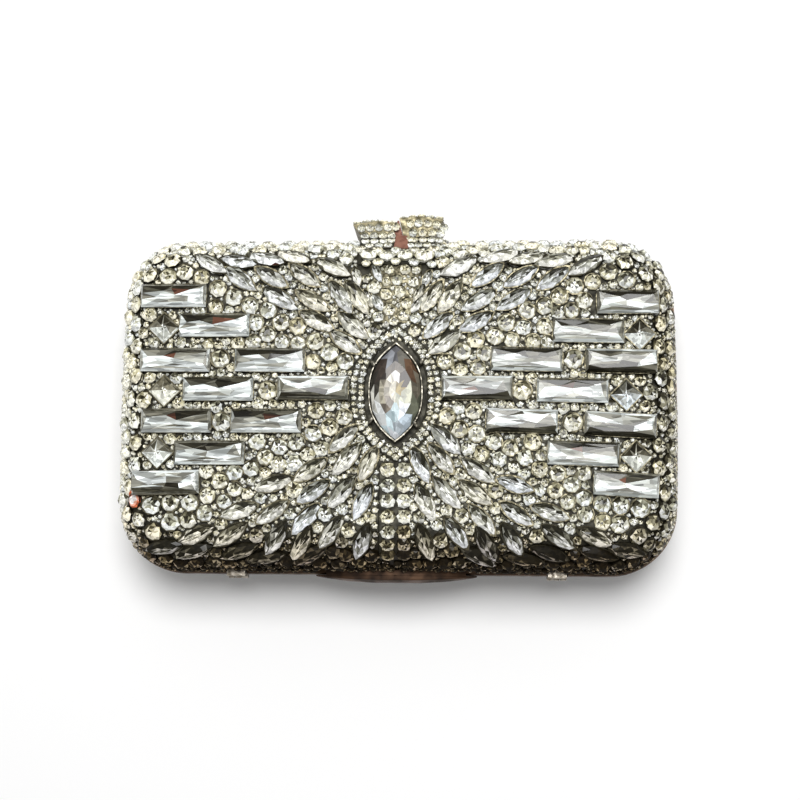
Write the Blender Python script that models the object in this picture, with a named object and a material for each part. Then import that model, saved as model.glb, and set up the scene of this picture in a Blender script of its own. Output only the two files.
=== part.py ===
"""Evening clutch with a hard case, lying on its back, front face up.

+X runs across the width, +Y to the clasp, +Z up to the front face. The origin is under the middle of the
case, on the surface that the back face rests on. Heights inside a half are measured from the plane where
the two halves meet, and each half has a side: +1 for the front half and -1 for the back half.
"""

import math

import bmesh
import bpy
from mathutils import Matrix, Vector

# Fit
GAP = 0.0003
OVERRUN = 0.002
FUSE = 0.0004

# Case
CASE_WIDTH = 0.190
CASE_HEIGHT = 0.114
CORNER_RADIUS = 0.022
SIDE_CROWN = 0.0015
FLAT_DEPTH = 0.021
EDGE_ROUNDING = 0.013
SHELL_WALL = 0.001
CORNER_POINTS = 7
CROWN_POINTS = 3
DOME_STEPS = 6

# Rim frames
FRAME_WIDTH = 0.004
FRAME_HEIGHT = 0.0045
FRAME_LEDGE = 0.002

# Linings and pocket
LINING_WALL = 0.0012
POCKET_WIDTH = 0.110
POCKET_HEIGHT = 0.055
POCKET_THICKNESS = 0.0012

# Hinges
HINGE_SPACING = 0.108
HINGE_LENGTH = 0.0066
KNUCKLE_RADIUS = 0.0013
HINGE_PIN_RADIUS = 0.00055
LEAF_THICKNESS = 0.0008
HINGE_NOTCH_DEPTH = 0.0026

# Base plates
BASE_LENGTH = 0.056
BASE_DEPTH = 0.018
BASE_THICKNESS = 0.0011
BASE_PARTING = 0.0021

# Clasp
CLASP_STANDOFF = 0.001
CLASP_DEPTH = 0.022
RIGHT_LOBE_HEIGHT = 0.0072
LEFT_LOBE_HEIGHT = 0.0056
LOBE_FOOT_INNER = 0.002
LOBE_FOOT_OUTER = 0.0123
LOBE_TOP_INNER = 0.0004
LOBE_TOP_OUTER = 0.0155
LOBE_TOP_DROP = 0.0012
PIVOT_OFFSET = 0.007
PIVOT_RISE = 0.0025
CLASP_PIN_RADIUS = 0.0007
CLASP_PIN_LENGTH = 0.010
POST_WIDTH = 0.004
POST_DEPTH = 0.0036
POST_CROWN = 0.0018
SLOT_SIDE_CLEARANCE = 0.0012
SPRING_THICKNESS = 0.0004
SPRING_HEIGHT = 0.0038
CATCH_WIDTH = 0.0024
CATCH_HEIGHT = 0.0045
CATCH_DEPTH = 0.0038
CLASP_BASE_WIDTH = 0.026
CLASP_BASE_THICKNESS = 0.002
CLASP_BASE_REACH = 0.009

# Stones
PATTERN_SHIFT = 0.0025
BAGUETTE_LENGTH = 0.024
BAGUETTE_WIDTH = 0.008
STONE_RISE = 0.004
GIRDLE_RISE = 0.0022
BEVEL_INSET = 0.0017
ROW_PITCH = 0.0103
CORNER_ROW_X = 0.0756
SECOND_ROW_X = 0.0619
THIRD_ROW_INNER_X = 0.0424
THIRD_ROW_OUTER_X = 0.0735
MIDDLE_ROW_INNER_X = 0.0275
MIDDLE_ROW_OUTER_X = 0.0586
FIELD_PLATE = 0.0008
FIELD_MARGIN = 0.0029
SQUARE_SIDE = 0.0078
SECOND_ROW_SQUARE_X = 0.0802
MIDDLE_ROW_SQUARE_X = 0.0776

# Marquises and rounds glued to the shells
MARQUISE_LENGTH = 0.0132
MARQUISE_WIDTH = 0.0054
MARQUISE_GIRDLE = 0.0017
MARQUISE_RISE = 0.0033
ROUND_WIDTH = 0.0054
ROUND_RISE = 0.0021
TABLE_SHARE = 0.5
LOWEST_INSET = 0.0025
STONE_SPANS = 3

# Marquises on the right hand: where each lies, as shares of the case's half width and half height, and the
# degrees that it is turned, read off the photograph
MARQUISE_SHARES = (
    (0.22, 0.78, 25), (0.32, 0.74, 35), (0.43, 0.72, 30), (0.54, 0.72, 35), (0.19, 0.60, 55), (0.13, 0.62, 55),
    (0.29, 0.58, 30), (0.41, 0.58, 30), (0.27, 0.46, 30), (0.145, 0.43, 40), (0.17, 0.33, 35), (0.36, 0.85, 18),
    (0.46, 0.84, 14), (0.56, 0.83, 11), (0.66, 0.78, 30),
    (0.17, -0.24, -45), (0.16, -0.35, -50), (0.085, -0.38, -65), (0.10, -0.60, -65), (0.175, -0.55, -50),
    (0.27, -0.54, -35), (0.28, -0.42, -35), (0.41, -0.50, -18), (0.30, -0.70, -50), (0.41, -0.66, -35),
    (0.525, -0.66, -18), (0.21, -0.77, -55), (0.40, -0.80, -58), (0.55, -0.78, -35), (0.67, -0.79, -25),
    (0.105, -0.81, -70), (0.525, -0.865, -18), (0.685, -0.87, -13), (0.79, -0.85, -10), (0.285, -0.88, -25),
    (0.44, -0.89, -10), (0.31, -0.82, -60),
)

# Rows of rounds on the right hand: where the first and the last lie, as the same shares, and how many
ROUND_ROW_SHARES = (
    ((0.17, 0.22), (0.85, 0.84), 13), ((0.61, 0.52), (0.65, 0.57), 2), ((0.80, 0.70), (0.875, 0.74), 2),
    ((0.35, 0.33), (0.52, 0.335), 4), ((0.44, 0.425), (0.51, 0.425), 2), ((0.17, -0.11), (0.39, -0.29), 5),
    ((0.44, -0.34), (0.70, -0.62), 6), ((0.70, -0.72), (0.87, -0.83), 4), ((0.76, -0.62), (0.875, -0.70), 3),
    ((0.545, -0.53), (0.64, -0.66), 3), ((0.27, -0.07), (0.29, 0.215), 2), ((0.47, -0.25), (0.65, -0.43), 2),
    ((0.61, 0.23), (0.61, -0.14), 2), ((0.44, 0.045), (0.87, 0.025), 2), ((0.93, 0.67), (0.93, -0.65), 11),
)

# Centre ornament
JEWEL_LENGTH = 0.033
JEWEL_WIDTH = 0.017
JEWEL_BEVEL = 0.003
BEZEL_WALL = 0.0014
BEZEL_HEIGHT = 0.0034
HALO_LENGTH = 0.0454
HALO_WIDTH = 0.030
PAVE_THICKNESS = 0.002
TOP_STRIP_WIDTH = 0.0174
BOTTOM_STRIP_WIDTH = 0.011
BOTTOM_STRIP_DROP = 0.008
NAVETTE_SPANS = 6

MID_PLANE = FLAT_DEPTH + STONE_RISE
HALF_WIDTH = CASE_WIDTH / 2
HALF_HEIGHT = CASE_HEIGHT / 2
FRONT = 1
BACK = -1
RIGHT = 1
LEFT = -1
ROUND_SIDES = 12
SHARP_ANGLE = math.radians(32)


def clear_scene():
    for obj in list(bpy.data.objects):
        bpy.data.objects.remove(obj, do_unlink=True)


def material(name, colour, roughness, metallic):
    made = bpy.data.materials.new(name)
    made.use_nodes = True
    shader = made.node_tree.nodes["Principled BSDF"]
    shader.inputs["Base Color"].default_value = (*colour, 1.0)
    shader.inputs["Roughness"].default_value = roughness
    shader.inputs["Metallic"].default_value = metallic
    made.diffuse_color = (*colour, 1.0)
    return made


def world(x, y, height, side):
    """The point at a height over the meeting plane, in the half on that side."""
    return Vector((x, y, MID_PLANE + side * height))


def add_piece(name, mesh, finish, pivot=None):
    """A finished piece. With a pivot it hangs from that empty, which stands on its joint's axis."""
    bmesh.ops.remove_doubles(mesh, verts=mesh.verts, dist=GAP / 1000)
    bmesh.ops.recalc_face_normals(mesh, faces=mesh.faces)
    if pivot is not None:
        bmesh.ops.translate(mesh, verts=mesh.verts, vec=-pivot.location)
    data = bpy.data.meshes.new(name)
    mesh.to_mesh(data)
    mesh.free()
    data.shade_smooth()
    data.set_sharp_from_angle(angle=SHARP_ANGLE)
    data.materials.append(finish)
    obj = bpy.data.objects.new(name, data)
    bpy.context.scene.collection.objects.link(obj)
    if pivot is not None:
        obj.parent = pivot
    return obj


def add_pivot(name, place):
    empty = bpy.data.objects.new(name, None)
    empty.empty_display_size = FRAME_WIDTH
    empty.location = place
    bpy.context.scene.collection.objects.link(empty)
    return empty


def add_helper(name, mesh):
    """A solid that only cuts or joins another one."""
    bmesh.ops.recalc_face_normals(mesh, faces=mesh.faces)
    data = bpy.data.meshes.new(name)
    mesh.to_mesh(data)
    mesh.free()
    obj = bpy.data.objects.new(name, data)
    obj.hide_render = True
    obj.display_type = "WIRE"
    bpy.context.scene.collection.objects.link(obj)
    return obj


def combine(obj, helper, operation):
    """The Boolean of the two, left on the object, with the helper following the same pivot."""
    if obj.parent is not None:
        helper.data.transform(Matrix.Translation(-obj.parent.location))
        helper.parent = obj.parent
    step = obj.modifiers.new(helper.name, "BOOLEAN")
    step.operation = operation
    step.object = helper
    step.solver = "EXACT"


def loft(rings, closed=False):
    """A solid through rings of points, capped at both ends, or joined end to end when closed."""
    mesh = bmesh.new()
    loops = [[mesh.verts.new(point) for point in ring] for ring in rings]
    count = len(loops[0])
    pairs = list(zip(loops, loops[1:]))
    if closed:
        pairs.append((loops[-1], loops[0]))
    for low, high in pairs:
        for i in range(count):
            j = (i + 1) % count
            mesh.faces.new((low[i], low[j], high[j], high[i]))
    if not closed:
        mesh.faces.new(loops[0])
        mesh.faces.new(loops[-1])
    return mesh


def box(low, high):
    corners = ((low.x, low.y), (high.x, low.y), (high.x, high.y), (low.x, high.y))
    return loft([[Vector((x, y, z)) for x, y in corners] for z in (low.z, high.z)])


def span_box(x_range, y_range, height_range, side):
    ends = [world(x_range[i], y_range[i], height_range[i], side) for i in (0, 1)]
    low = Vector([min(pair) for pair in zip(*ends)])
    high = Vector([max(pair) for pair in zip(*ends)])
    return box(low, high)


def circle(radius, sides=ROUND_SIDES):
    turn = math.tau / sides
    return [(radius * math.cos(i * turn), radius * math.sin(i * turn)) for i in range(sides)]


def rod_along_x(x_range, y, z, radius):
    return loft([[Vector((x, y + a, z + b)) for a, b in circle(radius)] for x in x_range])


def rod_along_z(x, y, z_range, radius):
    return loft([[Vector((x + a, y + b, z)) for a, b in circle(radius)] for z in z_range])


# Case outline and dome


def case_outline(inset):
    """Rounded rectangle with slightly bowed ends, drawn in by the inset from the edge of the frame."""
    half_width = HALF_WIDTH - SIDE_CROWN - inset
    half_height = HALF_HEIGHT - inset
    radius = CORNER_RADIUS - inset
    points = []
    for quarter, (sign_x, sign_y) in enumerate(((1, 1), (-1, 1), (-1, -1), (1, -1))):
        start = quarter * math.pi / 2
        for i in range(CORNER_POINTS):
            angle = start + math.pi / 2 * i / (CORNER_POINTS - 1)
            x = sign_x * (half_width - radius) + radius * math.cos(angle)
            y = sign_y * (half_height - radius) + radius * math.sin(angle)
            points.append((x, y))
        if sign_x != sign_y:
            for i in range(CROWN_POINTS):
                share = (i + 1) / (CROWN_POINTS + 1)
                y = sign_y * (half_height - radius) * (1 - 2 * share)
                points.append((sign_x * half_width, y))
    return [(x + math.copysign(crown_at(y), x), y) for x, y in points]


def crown_at(y):
    return SIDE_CROWN * (1 - (y / HALF_HEIGHT) ** 2)


def dome_rings(inset, base, top, rounding, side):
    """Rings from the rim up: each is drawn in and raised along a quarter ellipse, and the last edges the flat."""
    rings = []
    for k in range(DOME_STEPS + 1):
        angle = math.pi / 2 * k / DOME_STEPS
        drawn_in = inset + rounding * (1 - math.cos(angle))
        height = base + (top - base) * math.sin(angle)
        rings.append([world(x, y, height, side) for x, y in case_outline(drawn_in)])
    return rings


SHELL_BASE = GAP / 2 + FRAME_HEIGHT + GAP


def inset_at(x, y):
    """How far a place lies inside the edge of the shell, as drawn in plan."""
    radius = CORNER_RADIUS - FRAME_LEDGE
    across = abs(x) - crown_at(y) - (HALF_WIDTH - SIDE_CROWN - FRAME_LEDGE - radius)
    along = abs(y) - (HALF_HEIGHT - FRAME_LEDGE - radius)
    if across > 0 and along > 0:
        return radius - math.hypot(across, along)
    return radius - max(across, along)


def shell_height(x, y):
    slack = min(1.0, max(0.0, 1 - inset_at(x, y) / EDGE_ROUNDING))
    return SHELL_BASE + (FLAT_DEPTH - SHELL_BASE) * math.sqrt(1 - slack**2)


def shell_normal(x, y):
    step = GAP / 3
    slope_x = (shell_height(x + step, y) - shell_height(x - step, y)) / (2 * step)
    slope_y = (shell_height(x, y + step) - shell_height(x, y - step)) / (2 * step)
    return Vector((-slope_x, -slope_y, 1)).normalized()


def add_shell(name, side, finish, pivot):
    """Pressed metal half of the case: a dome with an open rim, soldered to its frame."""
    outer = dome_rings(FRAME_LEDGE, SHELL_BASE, FLAT_DEPTH, EDGE_ROUNDING, side)
    inner_rounding = EDGE_ROUNDING - SHELL_WALL
    inner_top = FLAT_DEPTH - SHELL_WALL
    inner = dome_rings(FRAME_LEDGE + SHELL_WALL, SHELL_BASE, inner_top, inner_rounding, side)
    return add_piece(name, loft(outer[::-1] + inner), finish, pivot)


def add_lining(name, side, finish, pivot):
    """Cloth-covered board that lines a half, resting on the frame inside the shell."""
    outer_inset = FRAME_LEDGE + SHELL_WALL + GAP
    outer_top = FLAT_DEPTH - SHELL_WALL - GAP
    outer_rounding = EDGE_ROUNDING - SHELL_WALL - GAP
    outer = dome_rings(outer_inset, SHELL_BASE, outer_top, outer_rounding, side)
    inner_rounding = outer_rounding - LINING_WALL
    inner_top = outer_top - LINING_WALL
    inner = dome_rings(outer_inset + LINING_WALL, SHELL_BASE, inner_top, inner_rounding, side)
    return add_piece(name, loft(outer[::-1] + inner), finish, pivot)


def add_frame(name, side, finish, pivot):
    """Cast rim of a half, with a notch for each hinge in the edge away from the clasp."""
    low = GAP / 2
    high = low + FRAME_HEIGHT
    section = ((0, low), (0, high), (FRAME_WIDTH, high), (FRAME_WIDTH, low))
    rings = [[world(x, y, h, side) for x, y in case_outline(inset)] for inset, h in section]
    frame = add_piece(name, loft(rings, closed=True), finish, pivot)
    reach = HINGE_LENGTH / 2 + GAP
    for hand in (LEFT, RIGHT):
        centre = hand * HINGE_SPACING / 2
        x_range = (centre - reach, centre + reach)
        y_range = (-HALF_HEIGHT - OVERRUN, -HALF_HEIGHT + HINGE_NOTCH_DEPTH)
        notch = span_box(x_range, y_range, (-OVERRUN, high + OVERRUN), side)
        combine(frame, add_helper(f"{name}_notch_{hand}", notch), "DIFFERENCE")
    return frame


def add_pocket(name, finish):
    """Flat slip pocket sewn to the back lining."""
    floor = FLAT_DEPTH - SHELL_WALL - GAP - LINING_WALL - GAP
    x_range = (-POCKET_WIDTH / 2, POCKET_WIDTH / 2)
    y_range = (-POCKET_HEIGHT / 2, POCKET_HEIGHT / 2)
    panel = span_box(x_range, y_range, (floor - POCKET_THICKNESS, floor), BACK)
    return add_piece(name, panel, finish)


# Hinges


HINGE_AXIS = Vector((0, -HALF_HEIGHT, MID_PLANE))


def add_leaf(name, side, x_centre, knuckles, finish, pivot):
    """Hinge leaf: a strap in the frame's notch, and a tongue to each of its knuckles round the pin."""
    strap_inner = -HALF_HEIGHT + HINGE_NOTCH_DEPTH - GAP
    strap_outer = strap_inner - LEAF_THICKNESS
    strap_low = KNUCKLE_RADIUS + GAP
    strap_high = GAP / 2 + FRAME_HEIGHT
    x_range = (x_centre - HINGE_LENGTH / 2, x_centre + HINGE_LENGTH / 2)
    strap = span_box(x_range, (strap_outer, strap_inner), (strap_low, strap_high), side)
    leaf = add_piece(name, strap, finish, pivot)
    bore = HINGE_PIN_RADIUS + GAP
    tongue_outer = HINGE_AXIS.y + (bore + KNUCKLE_RADIUS) / 2
    for i, (start, end) in enumerate(knuckles):
        inside = (x_centre + start, x_centre + end)
        tongue_heights = (GAP, strap_low + LEAF_THICKNESS)
        tongue = span_box(inside, (tongue_outer, strap_inner - FUSE), tongue_heights, side)
        knuckle = rod_along_x(inside, HINGE_AXIS.y, HINGE_AXIS.z, KNUCKLE_RADIUS)
        combine(leaf, add_helper(f"{name}_tongue_{i}", tongue), "UNION")
        combine(leaf, add_helper(f"{name}_knuckle_{i}", knuckle), "UNION")
    through = (x_range[0] - OVERRUN, x_range[1] + OVERRUN)
    hole = rod_along_x(through, HINGE_AXIS.y, HINGE_AXIS.z, bore)
    combine(leaf, add_helper(f"{name}_bore", hole), "DIFFERENCE")
    return leaf


def add_hinge(prefix, hand, finish, pivot):
    x_centre = hand * HINGE_SPACING / 2
    third = HINGE_LENGTH / 6
    middle = [(-third + GAP / 2, third - GAP / 2)]
    half = HINGE_LENGTH / 2
    outer = [(-half, -third - GAP / 2), (third + GAP / 2, half)]
    add_leaf(f"{prefix}_front_leaf", FRONT, x_centre, middle, finish, pivot)
    add_leaf(f"{prefix}_back_leaf", BACK, x_centre, outer, finish, None)
    ends = (x_centre - half, x_centre + half)
    pin = rod_along_x(ends, HINGE_AXIS.y, HINGE_AXIS.z, HINGE_PIN_RADIUS)
    add_piece(f"{prefix}_pin", pin, finish)


# Base plates


def add_base_plate(name, side, finish, pivot):
    """Half of the oval plate that the bag stands on when it is set upright."""
    outer_face = -HALF_HEIGHT - GAP - BASE_THICKNESS
    outline = []
    steps = 2 * ROUND_SIDES
    low_angle = math.asin(BASE_PARTING / (BASE_DEPTH / 2))
    for i in range(steps + 1):
        angle = low_angle + (math.pi - 2 * low_angle) * i / steps
        outline.append((BASE_LENGTH / 2 * math.cos(angle), BASE_DEPTH / 2 * math.sin(angle)))
    faces = (outer_face, outer_face + BASE_THICKNESS)
    rings = [[world(x, y, h, side) for x, h in outline] for y in faces]
    return add_piece(name, loft(rings), finish, pivot)


# Clasp


CLASP_FOOT = HALF_HEIGHT + CLASP_STANDOFF
PIVOT_Y = CLASP_FOOT + PIVOT_RISE
POST_MIDDLE = GAP / 2 + FRAME_HEIGHT / 2


def add_lobe(name, hand, height, finish, pivot):
    """Fan-shaped half of the clasp, hollowed at its foot for the post, and bored for the pin."""
    top = CLASP_FOOT + height
    side = hand
    outline = (
        (LOBE_FOOT_INNER, CLASP_FOOT),
        (LOBE_FOOT_OUTER, CLASP_FOOT),
        (LOBE_TOP_OUTER, top - LOBE_TOP_DROP),
        ((LOBE_TOP_OUTER + LOBE_TOP_INNER) / 2, top),
        (LOBE_TOP_INNER, top - LOBE_TOP_DROP / 2),
    )
    depths = (-CLASP_DEPTH / 2, CLASP_DEPTH / 2)
    rings = [[world(hand * x, y, h, side) for x, y in outline] for h in depths]
    lobe = add_piece(name, loft(rings), finish, pivot)
    centre = hand * PIVOT_OFFSET
    reach = POST_WIDTH / 2 + SLOT_SIDE_CLEARANCE + SPRING_THICKNESS
    slot_top = PIVOT_Y + POST_CROWN + 2 * GAP
    slot_heights = (POST_MIDDLE - POST_DEPTH / 2 - GAP, POST_MIDDLE + POST_DEPTH / 2 + GAP)
    y_range = (CLASP_FOOT - OVERRUN, slot_top)
    slot = span_box((centre - reach, centre + reach), y_range, slot_heights, side)
    combine(lobe, add_helper(f"{name}_slot", slot), "DIFFERENCE")
    bore_half = CLASP_PIN_LENGTH / 2 + GAP
    ends = [world(0, 0, POST_MIDDLE + h, side).z for h in (-bore_half, bore_half)]
    bore = rod_along_z(centre, PIVOT_Y, sorted(ends), CLASP_PIN_RADIUS + GAP)
    combine(lobe, add_helper(f"{name}_bore", bore), "DIFFERENCE")
    return lobe


def add_clasp_post(prefix, hand, finish, pivot):
    """Post soldered to a frame, with the pin that carries the lobe."""
    side = hand
    centre = hand * PIVOT_OFFSET
    x_range = (centre - POST_WIDTH / 2, centre + POST_WIDTH / 2)
    y_range = (HALF_HEIGHT + GAP, PIVOT_Y + POST_CROWN)
    heights = (POST_MIDDLE - POST_DEPTH / 2, POST_MIDDLE + POST_DEPTH / 2)
    post = add_piece(f"{prefix}_post", span_box(x_range, y_range, heights, side), finish, pivot)
    half = CLASP_PIN_LENGTH / 2
    through = sorted(world(0, 0, POST_MIDDLE + h, side).z for h in (-half - OVERRUN, half + OVERRUN))
    hole = rod_along_z(centre, PIVOT_Y, through, CLASP_PIN_RADIUS + GAP)
    combine(post, add_helper(f"{prefix}_post_bore", hole), "DIFFERENCE")
    ends = sorted(world(0, 0, POST_MIDDLE + h, side).z for h in (-half, half))
    add_piece(f"{prefix}_pin", rod_along_z(centre, PIVOT_Y, ends, CLASP_PIN_RADIUS), finish, pivot)


def add_clasp_spring(name, finish, pivot):
    """Leaf spring beside the moving lobe's post."""
    start = PIVOT_OFFSET + POST_WIDTH / 2 + GAP
    foot = HALF_HEIGHT + GAP
    heights = (POST_MIDDLE - POST_DEPTH / 3, POST_MIDDLE + POST_DEPTH / 3)
    y_range = (foot, foot + SPRING_HEIGHT)
    leaf = span_box((start, start + SPRING_THICKNESS), y_range, heights, FRONT)
    return add_piece(name, leaf, finish, pivot)


def add_clasp_catch(name, finish):
    """Tapered catch of the back half, which shows in the gap between the lobes."""
    foot = HALF_HEIGHT + GAP
    outline = (
        (-CATCH_WIDTH / 2, foot),
        (CATCH_WIDTH / 2, foot),
        (0, foot + CATCH_HEIGHT),
    )
    low = GAP / 2 + GAP
    rings = [[world(x, y, h, BACK) for x, y in outline] for h in (low, low + CATCH_DEPTH)]
    return add_piece(name, loft(rings), finish)


def dome_strip(width, y_start, y_end, thickness, side):
    """A band over the shell along Y: its section follows the dome, raised along the normal."""
    steps = 2 * DOME_STEPS
    low = []
    high = []
    for i in range(steps + 1):
        y = y_start + (y_end - y_start) * i / steps
        foot = Vector((0, y, shell_height(0, y)))
        normal = shell_normal(0, y)
        low.append(foot + GAP * normal)
        high.append(foot + (GAP + thickness) * normal)
    section = low + high[::-1]
    ends = (-width / 2, width / 2)
    return loft([[world(x, point.y, point.z, side) for point in section] for x in ends])


def clasp_base_span():
    """From the flat of the shell to where the dome passes under the front of the lobes."""
    height = CLASP_DEPTH / 2 + CLASP_BASE_THICKNESS
    angle = math.asin((height - SHELL_BASE) / (FLAT_DEPTH - SHELL_BASE))
    y_end = HALF_HEIGHT - FRAME_LEDGE - EDGE_ROUNDING * (1 - math.cos(angle))
    return y_end - CLASP_BASE_REACH, y_end


def add_clasp_base(name, side, finish, pivot):
    """Stone-set plate over the edge of the shell, below the clasp."""
    band = dome_strip(CLASP_BASE_WIDTH, *clasp_base_span(), CLASP_BASE_THICKNESS, side)
    return add_piece(name, band, finish, pivot)


# Stones


def baguette_places():
    """Centres and lengths on one hand, row by row from the clasp side down."""
    rows = (
        (3, (CORNER_ROW_X,)),
        (2, (SECOND_ROW_X,)),
        (1, (THIRD_ROW_INNER_X, THIRD_ROW_OUTER_X)),
        (0, (MIDDLE_ROW_INNER_X, MIDDLE_ROW_OUTER_X)),
        (-1, (THIRD_ROW_INNER_X, THIRD_ROW_OUTER_X)),
        (-2, (SECOND_ROW_X,)),
        (-3, (CORNER_ROW_X,)),
    )
    return [(x, PATTERN_SHIFT + row * ROW_PITCH) for row, columns in rows for x in columns]


def cut_stone(x, y, length, width, turn, foot, side):
    """Four-sided stone: straight to the girdle, then bevelled in to its table."""
    levels = ((foot, 0), (GIRDLE_RISE, 0), (STONE_RISE, BEVEL_INSET))
    rings = []
    for rise, inset in levels:
        a = length / 2 - inset
        b = width / 2 - inset
        ring = []
        for u, v in ((a, b), (-a, b), (-a, -b), (a, -b)):
            across = u * math.cos(turn) - v * math.sin(turn)
            along = u * math.sin(turn) + v * math.cos(turn)
            ring.append(world(x + across, y + along, FLAT_DEPTH + rise, side))
        rings.append(ring)
    return loft(rings)


def baguette(x, y, foot, side):
    return cut_stone(x, y, BAGUETTE_LENGTH, BAGUETTE_WIDTH, 0, foot, side)


def add_baguettes(finish, pivot):
    for hand, label in ((LEFT, "left"), (RIGHT, "right")):
        for number, (x, y) in enumerate(baguette_places(), start=1):
            stone = baguette(hand * x, y, GAP, FRONT)
            add_piece(f"front_baguette_{label}_{number:02d}", stone, finish, pivot)


def square_places():
    """Centres on one hand, at the outer ends of every other row."""
    rows = ((2, SECOND_ROW_SQUARE_X), (0, MIDDLE_ROW_SQUARE_X), (-2, SECOND_ROW_SQUARE_X))
    return [(x, PATTERN_SHIFT + row * ROW_PITCH) for row, x in rows]


def add_squares(finish, pivot):
    """Square stones set on their points."""
    for hand, label in ((LEFT, "left"), (RIGHT, "right")):
        for number, (x, y) in enumerate(square_places(), start=1):
            stone = cut_stone(hand * x, y, SQUARE_SIDE, SQUARE_SIDE, math.pi / 4, GAP, FRONT)
            add_piece(f"front_square_{label}_{number}", stone, finish, pivot)


def field_span():
    """Setting plate of the back face on the right hand: its range across and its range along."""
    places = baguette_places()
    inner = min(x for x, _ in places) - BAGUETTE_LENGTH / 2 + FUSE
    outer = max(x for x, _ in places) + FIELD_MARGIN
    reach = 3 * ROW_PITCH + BAGUETTE_WIDTH / 2 - FUSE
    return (inner, outer), (PATTERN_SHIFT - reach, PATTERN_SHIFT + reach)


def add_back_field(name, hand, finish):
    """Stone field of the back face: a thin setting plate with the same baguettes standing on it."""
    places = baguette_places()
    (inner, outer), y_range = field_span()
    x_range = (hand * inner, hand * outer)
    heights = (FLAT_DEPTH + GAP, FLAT_DEPTH + GAP + FIELD_PLATE)
    field = add_piece(name, span_box(x_range, y_range, heights, BACK), finish)
    foot = GAP + FIELD_PLATE / 2
    for number, (x, y) in enumerate(places, start=1):
        stone = add_helper(f"{name}_stone_{number:02d}", baguette(hand * x, y, foot, BACK))
        combine(field, stone, "UNION")
    return field


def navette(length, width, spans=NAVETTE_SPANS):
    """Two equal arcs that meet in a point at each end, long along Y."""
    radius = (length**2 + width**2) / (4 * width)
    sweep = math.asin(length / 2 / radius)
    arc = []
    for i in range(spans):
        angle = -sweep + 2 * sweep * i / spans
        arc.append((radius * math.cos(angle) - (radius - width / 2), radius * math.sin(angle)))
    return arc + [(-x, -y) for x, y in arc]


def navette_rings(levels, side):
    """Navette outlines at heights over the flat of the shell: (length, width, rise) each."""
    rings = []
    for length, width, rise in levels:
        ring = navette(length, width)
        rings.append([world(x, PATTERN_SHIFT + y, FLAT_DEPTH + rise, side) for x, y in ring])
    return rings


def slimmer(length, width, wall):
    """The navette that leaves about this wall all round: its points draw in faster than its sides."""
    return length - 2 * wall * length / width, width - 2 * wall


def add_jewel(name, finish, pivot):
    table = slimmer(JEWEL_LENGTH, JEWEL_WIDTH, JEWEL_BEVEL)
    levels = (
        (JEWEL_LENGTH, JEWEL_WIDTH, GAP),
        (JEWEL_LENGTH, JEWEL_WIDTH, GIRDLE_RISE),
        (*table, STONE_RISE),
    )
    return add_piece(name, loft(navette_rings(levels, FRONT)), finish, pivot)


def add_ring(name, inner_size, outer_size, rise, finish, pivot):
    levels = (
        (*outer_size, GAP),
        (*outer_size, rise),
        (*inner_size, rise),
        (*inner_size, GAP),
    )
    return add_piece(name, loft(navette_rings(levels, FRONT), closed=True), finish, pivot)


BEZEL_INNER = slimmer(JEWEL_LENGTH, JEWEL_WIDTH, -GAP)
BEZEL_OUTER = slimmer(*BEZEL_INNER, -BEZEL_WALL)
HALO_INNER = slimmer(*BEZEL_OUTER, -GAP)


TOP_STRIP_START = PATTERN_SHIFT + HALO_LENGTH / 2 + GAP
BOTTOM_STRIP_START = PATTERN_SHIFT - HALO_LENGTH / 2 - GAP
BOTTOM_STRIP_END = -(HALF_HEIGHT - FRAME_LEDGE - EDGE_ROUNDING) - BOTTOM_STRIP_DROP


def add_strips(finish, pivot):
    """Bands of small stones from the halo to the clasp, and from the halo over the lower edge."""
    top_end = clasp_base_span()[0] - GAP
    top = dome_strip(TOP_STRIP_WIDTH, TOP_STRIP_START, top_end, PAVE_THICKNESS, FRONT)
    add_piece("front_top_strip", top, finish, pivot)
    low = dome_strip(BOTTOM_STRIP_WIDTH, BOTTOM_STRIP_START, BOTTOM_STRIP_END, PAVE_THICKNESS, FRONT)
    add_piece("front_bottom_strip", low, finish, pivot)


def add_back_centre(name, finish):
    """Centre of the back face: halo, jewel and strips, set as one piece."""
    halo_levels = ((HALO_LENGTH, HALO_WIDTH, GAP), (HALO_LENGTH, HALO_WIDTH, GAP + PAVE_THICKNESS))
    centre = add_piece(name, loft(navette_rings(halo_levels, BACK)), finish)
    table = slimmer(JEWEL_LENGTH, JEWEL_WIDTH, JEWEL_BEVEL)
    jewel_levels = (
        (JEWEL_LENGTH, JEWEL_WIDTH, PAVE_THICKNESS / 2),
        (JEWEL_LENGTH, JEWEL_WIDTH, GIRDLE_RISE + GAP),
        (*table, STONE_RISE),
    )
    jewel = add_helper(f"{name}_jewel", loft(navette_rings(jewel_levels, BACK)))
    combine(centre, jewel, "UNION")
    return centre


# Marquises and rounds


def box_room(place, middle, length, width, turn=0.0):
    """How far a place lies outside a turned rectangle, in plan, past its nearer side."""
    x = place[0] - middle[0]
    y = place[1] - middle[1]
    across = x * math.cos(turn) + y * math.sin(turn)
    along = y * math.cos(turn) - x * math.sin(turn)
    return max(abs(across) - length / 2, abs(along) - width / 2)


def span_room(place, x_range, y_range):
    """The same for a rectangle given by its two ranges."""
    middle = (sum(x_range) / 2, sum(y_range) / 2)
    return box_room(place, middle, x_range[1] - x_range[0], y_range[1] - y_range[0])


def halo_room(place):
    """How far a place lies outside the halo, in plan."""
    radius = (HALO_LENGTH**2 + HALO_WIDTH**2) / (4 * HALO_WIDTH)
    return math.hypot(abs(place[0]) + radius - HALO_WIDTH / 2, place[1] - PATTERN_SHIFT) - radius


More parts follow.
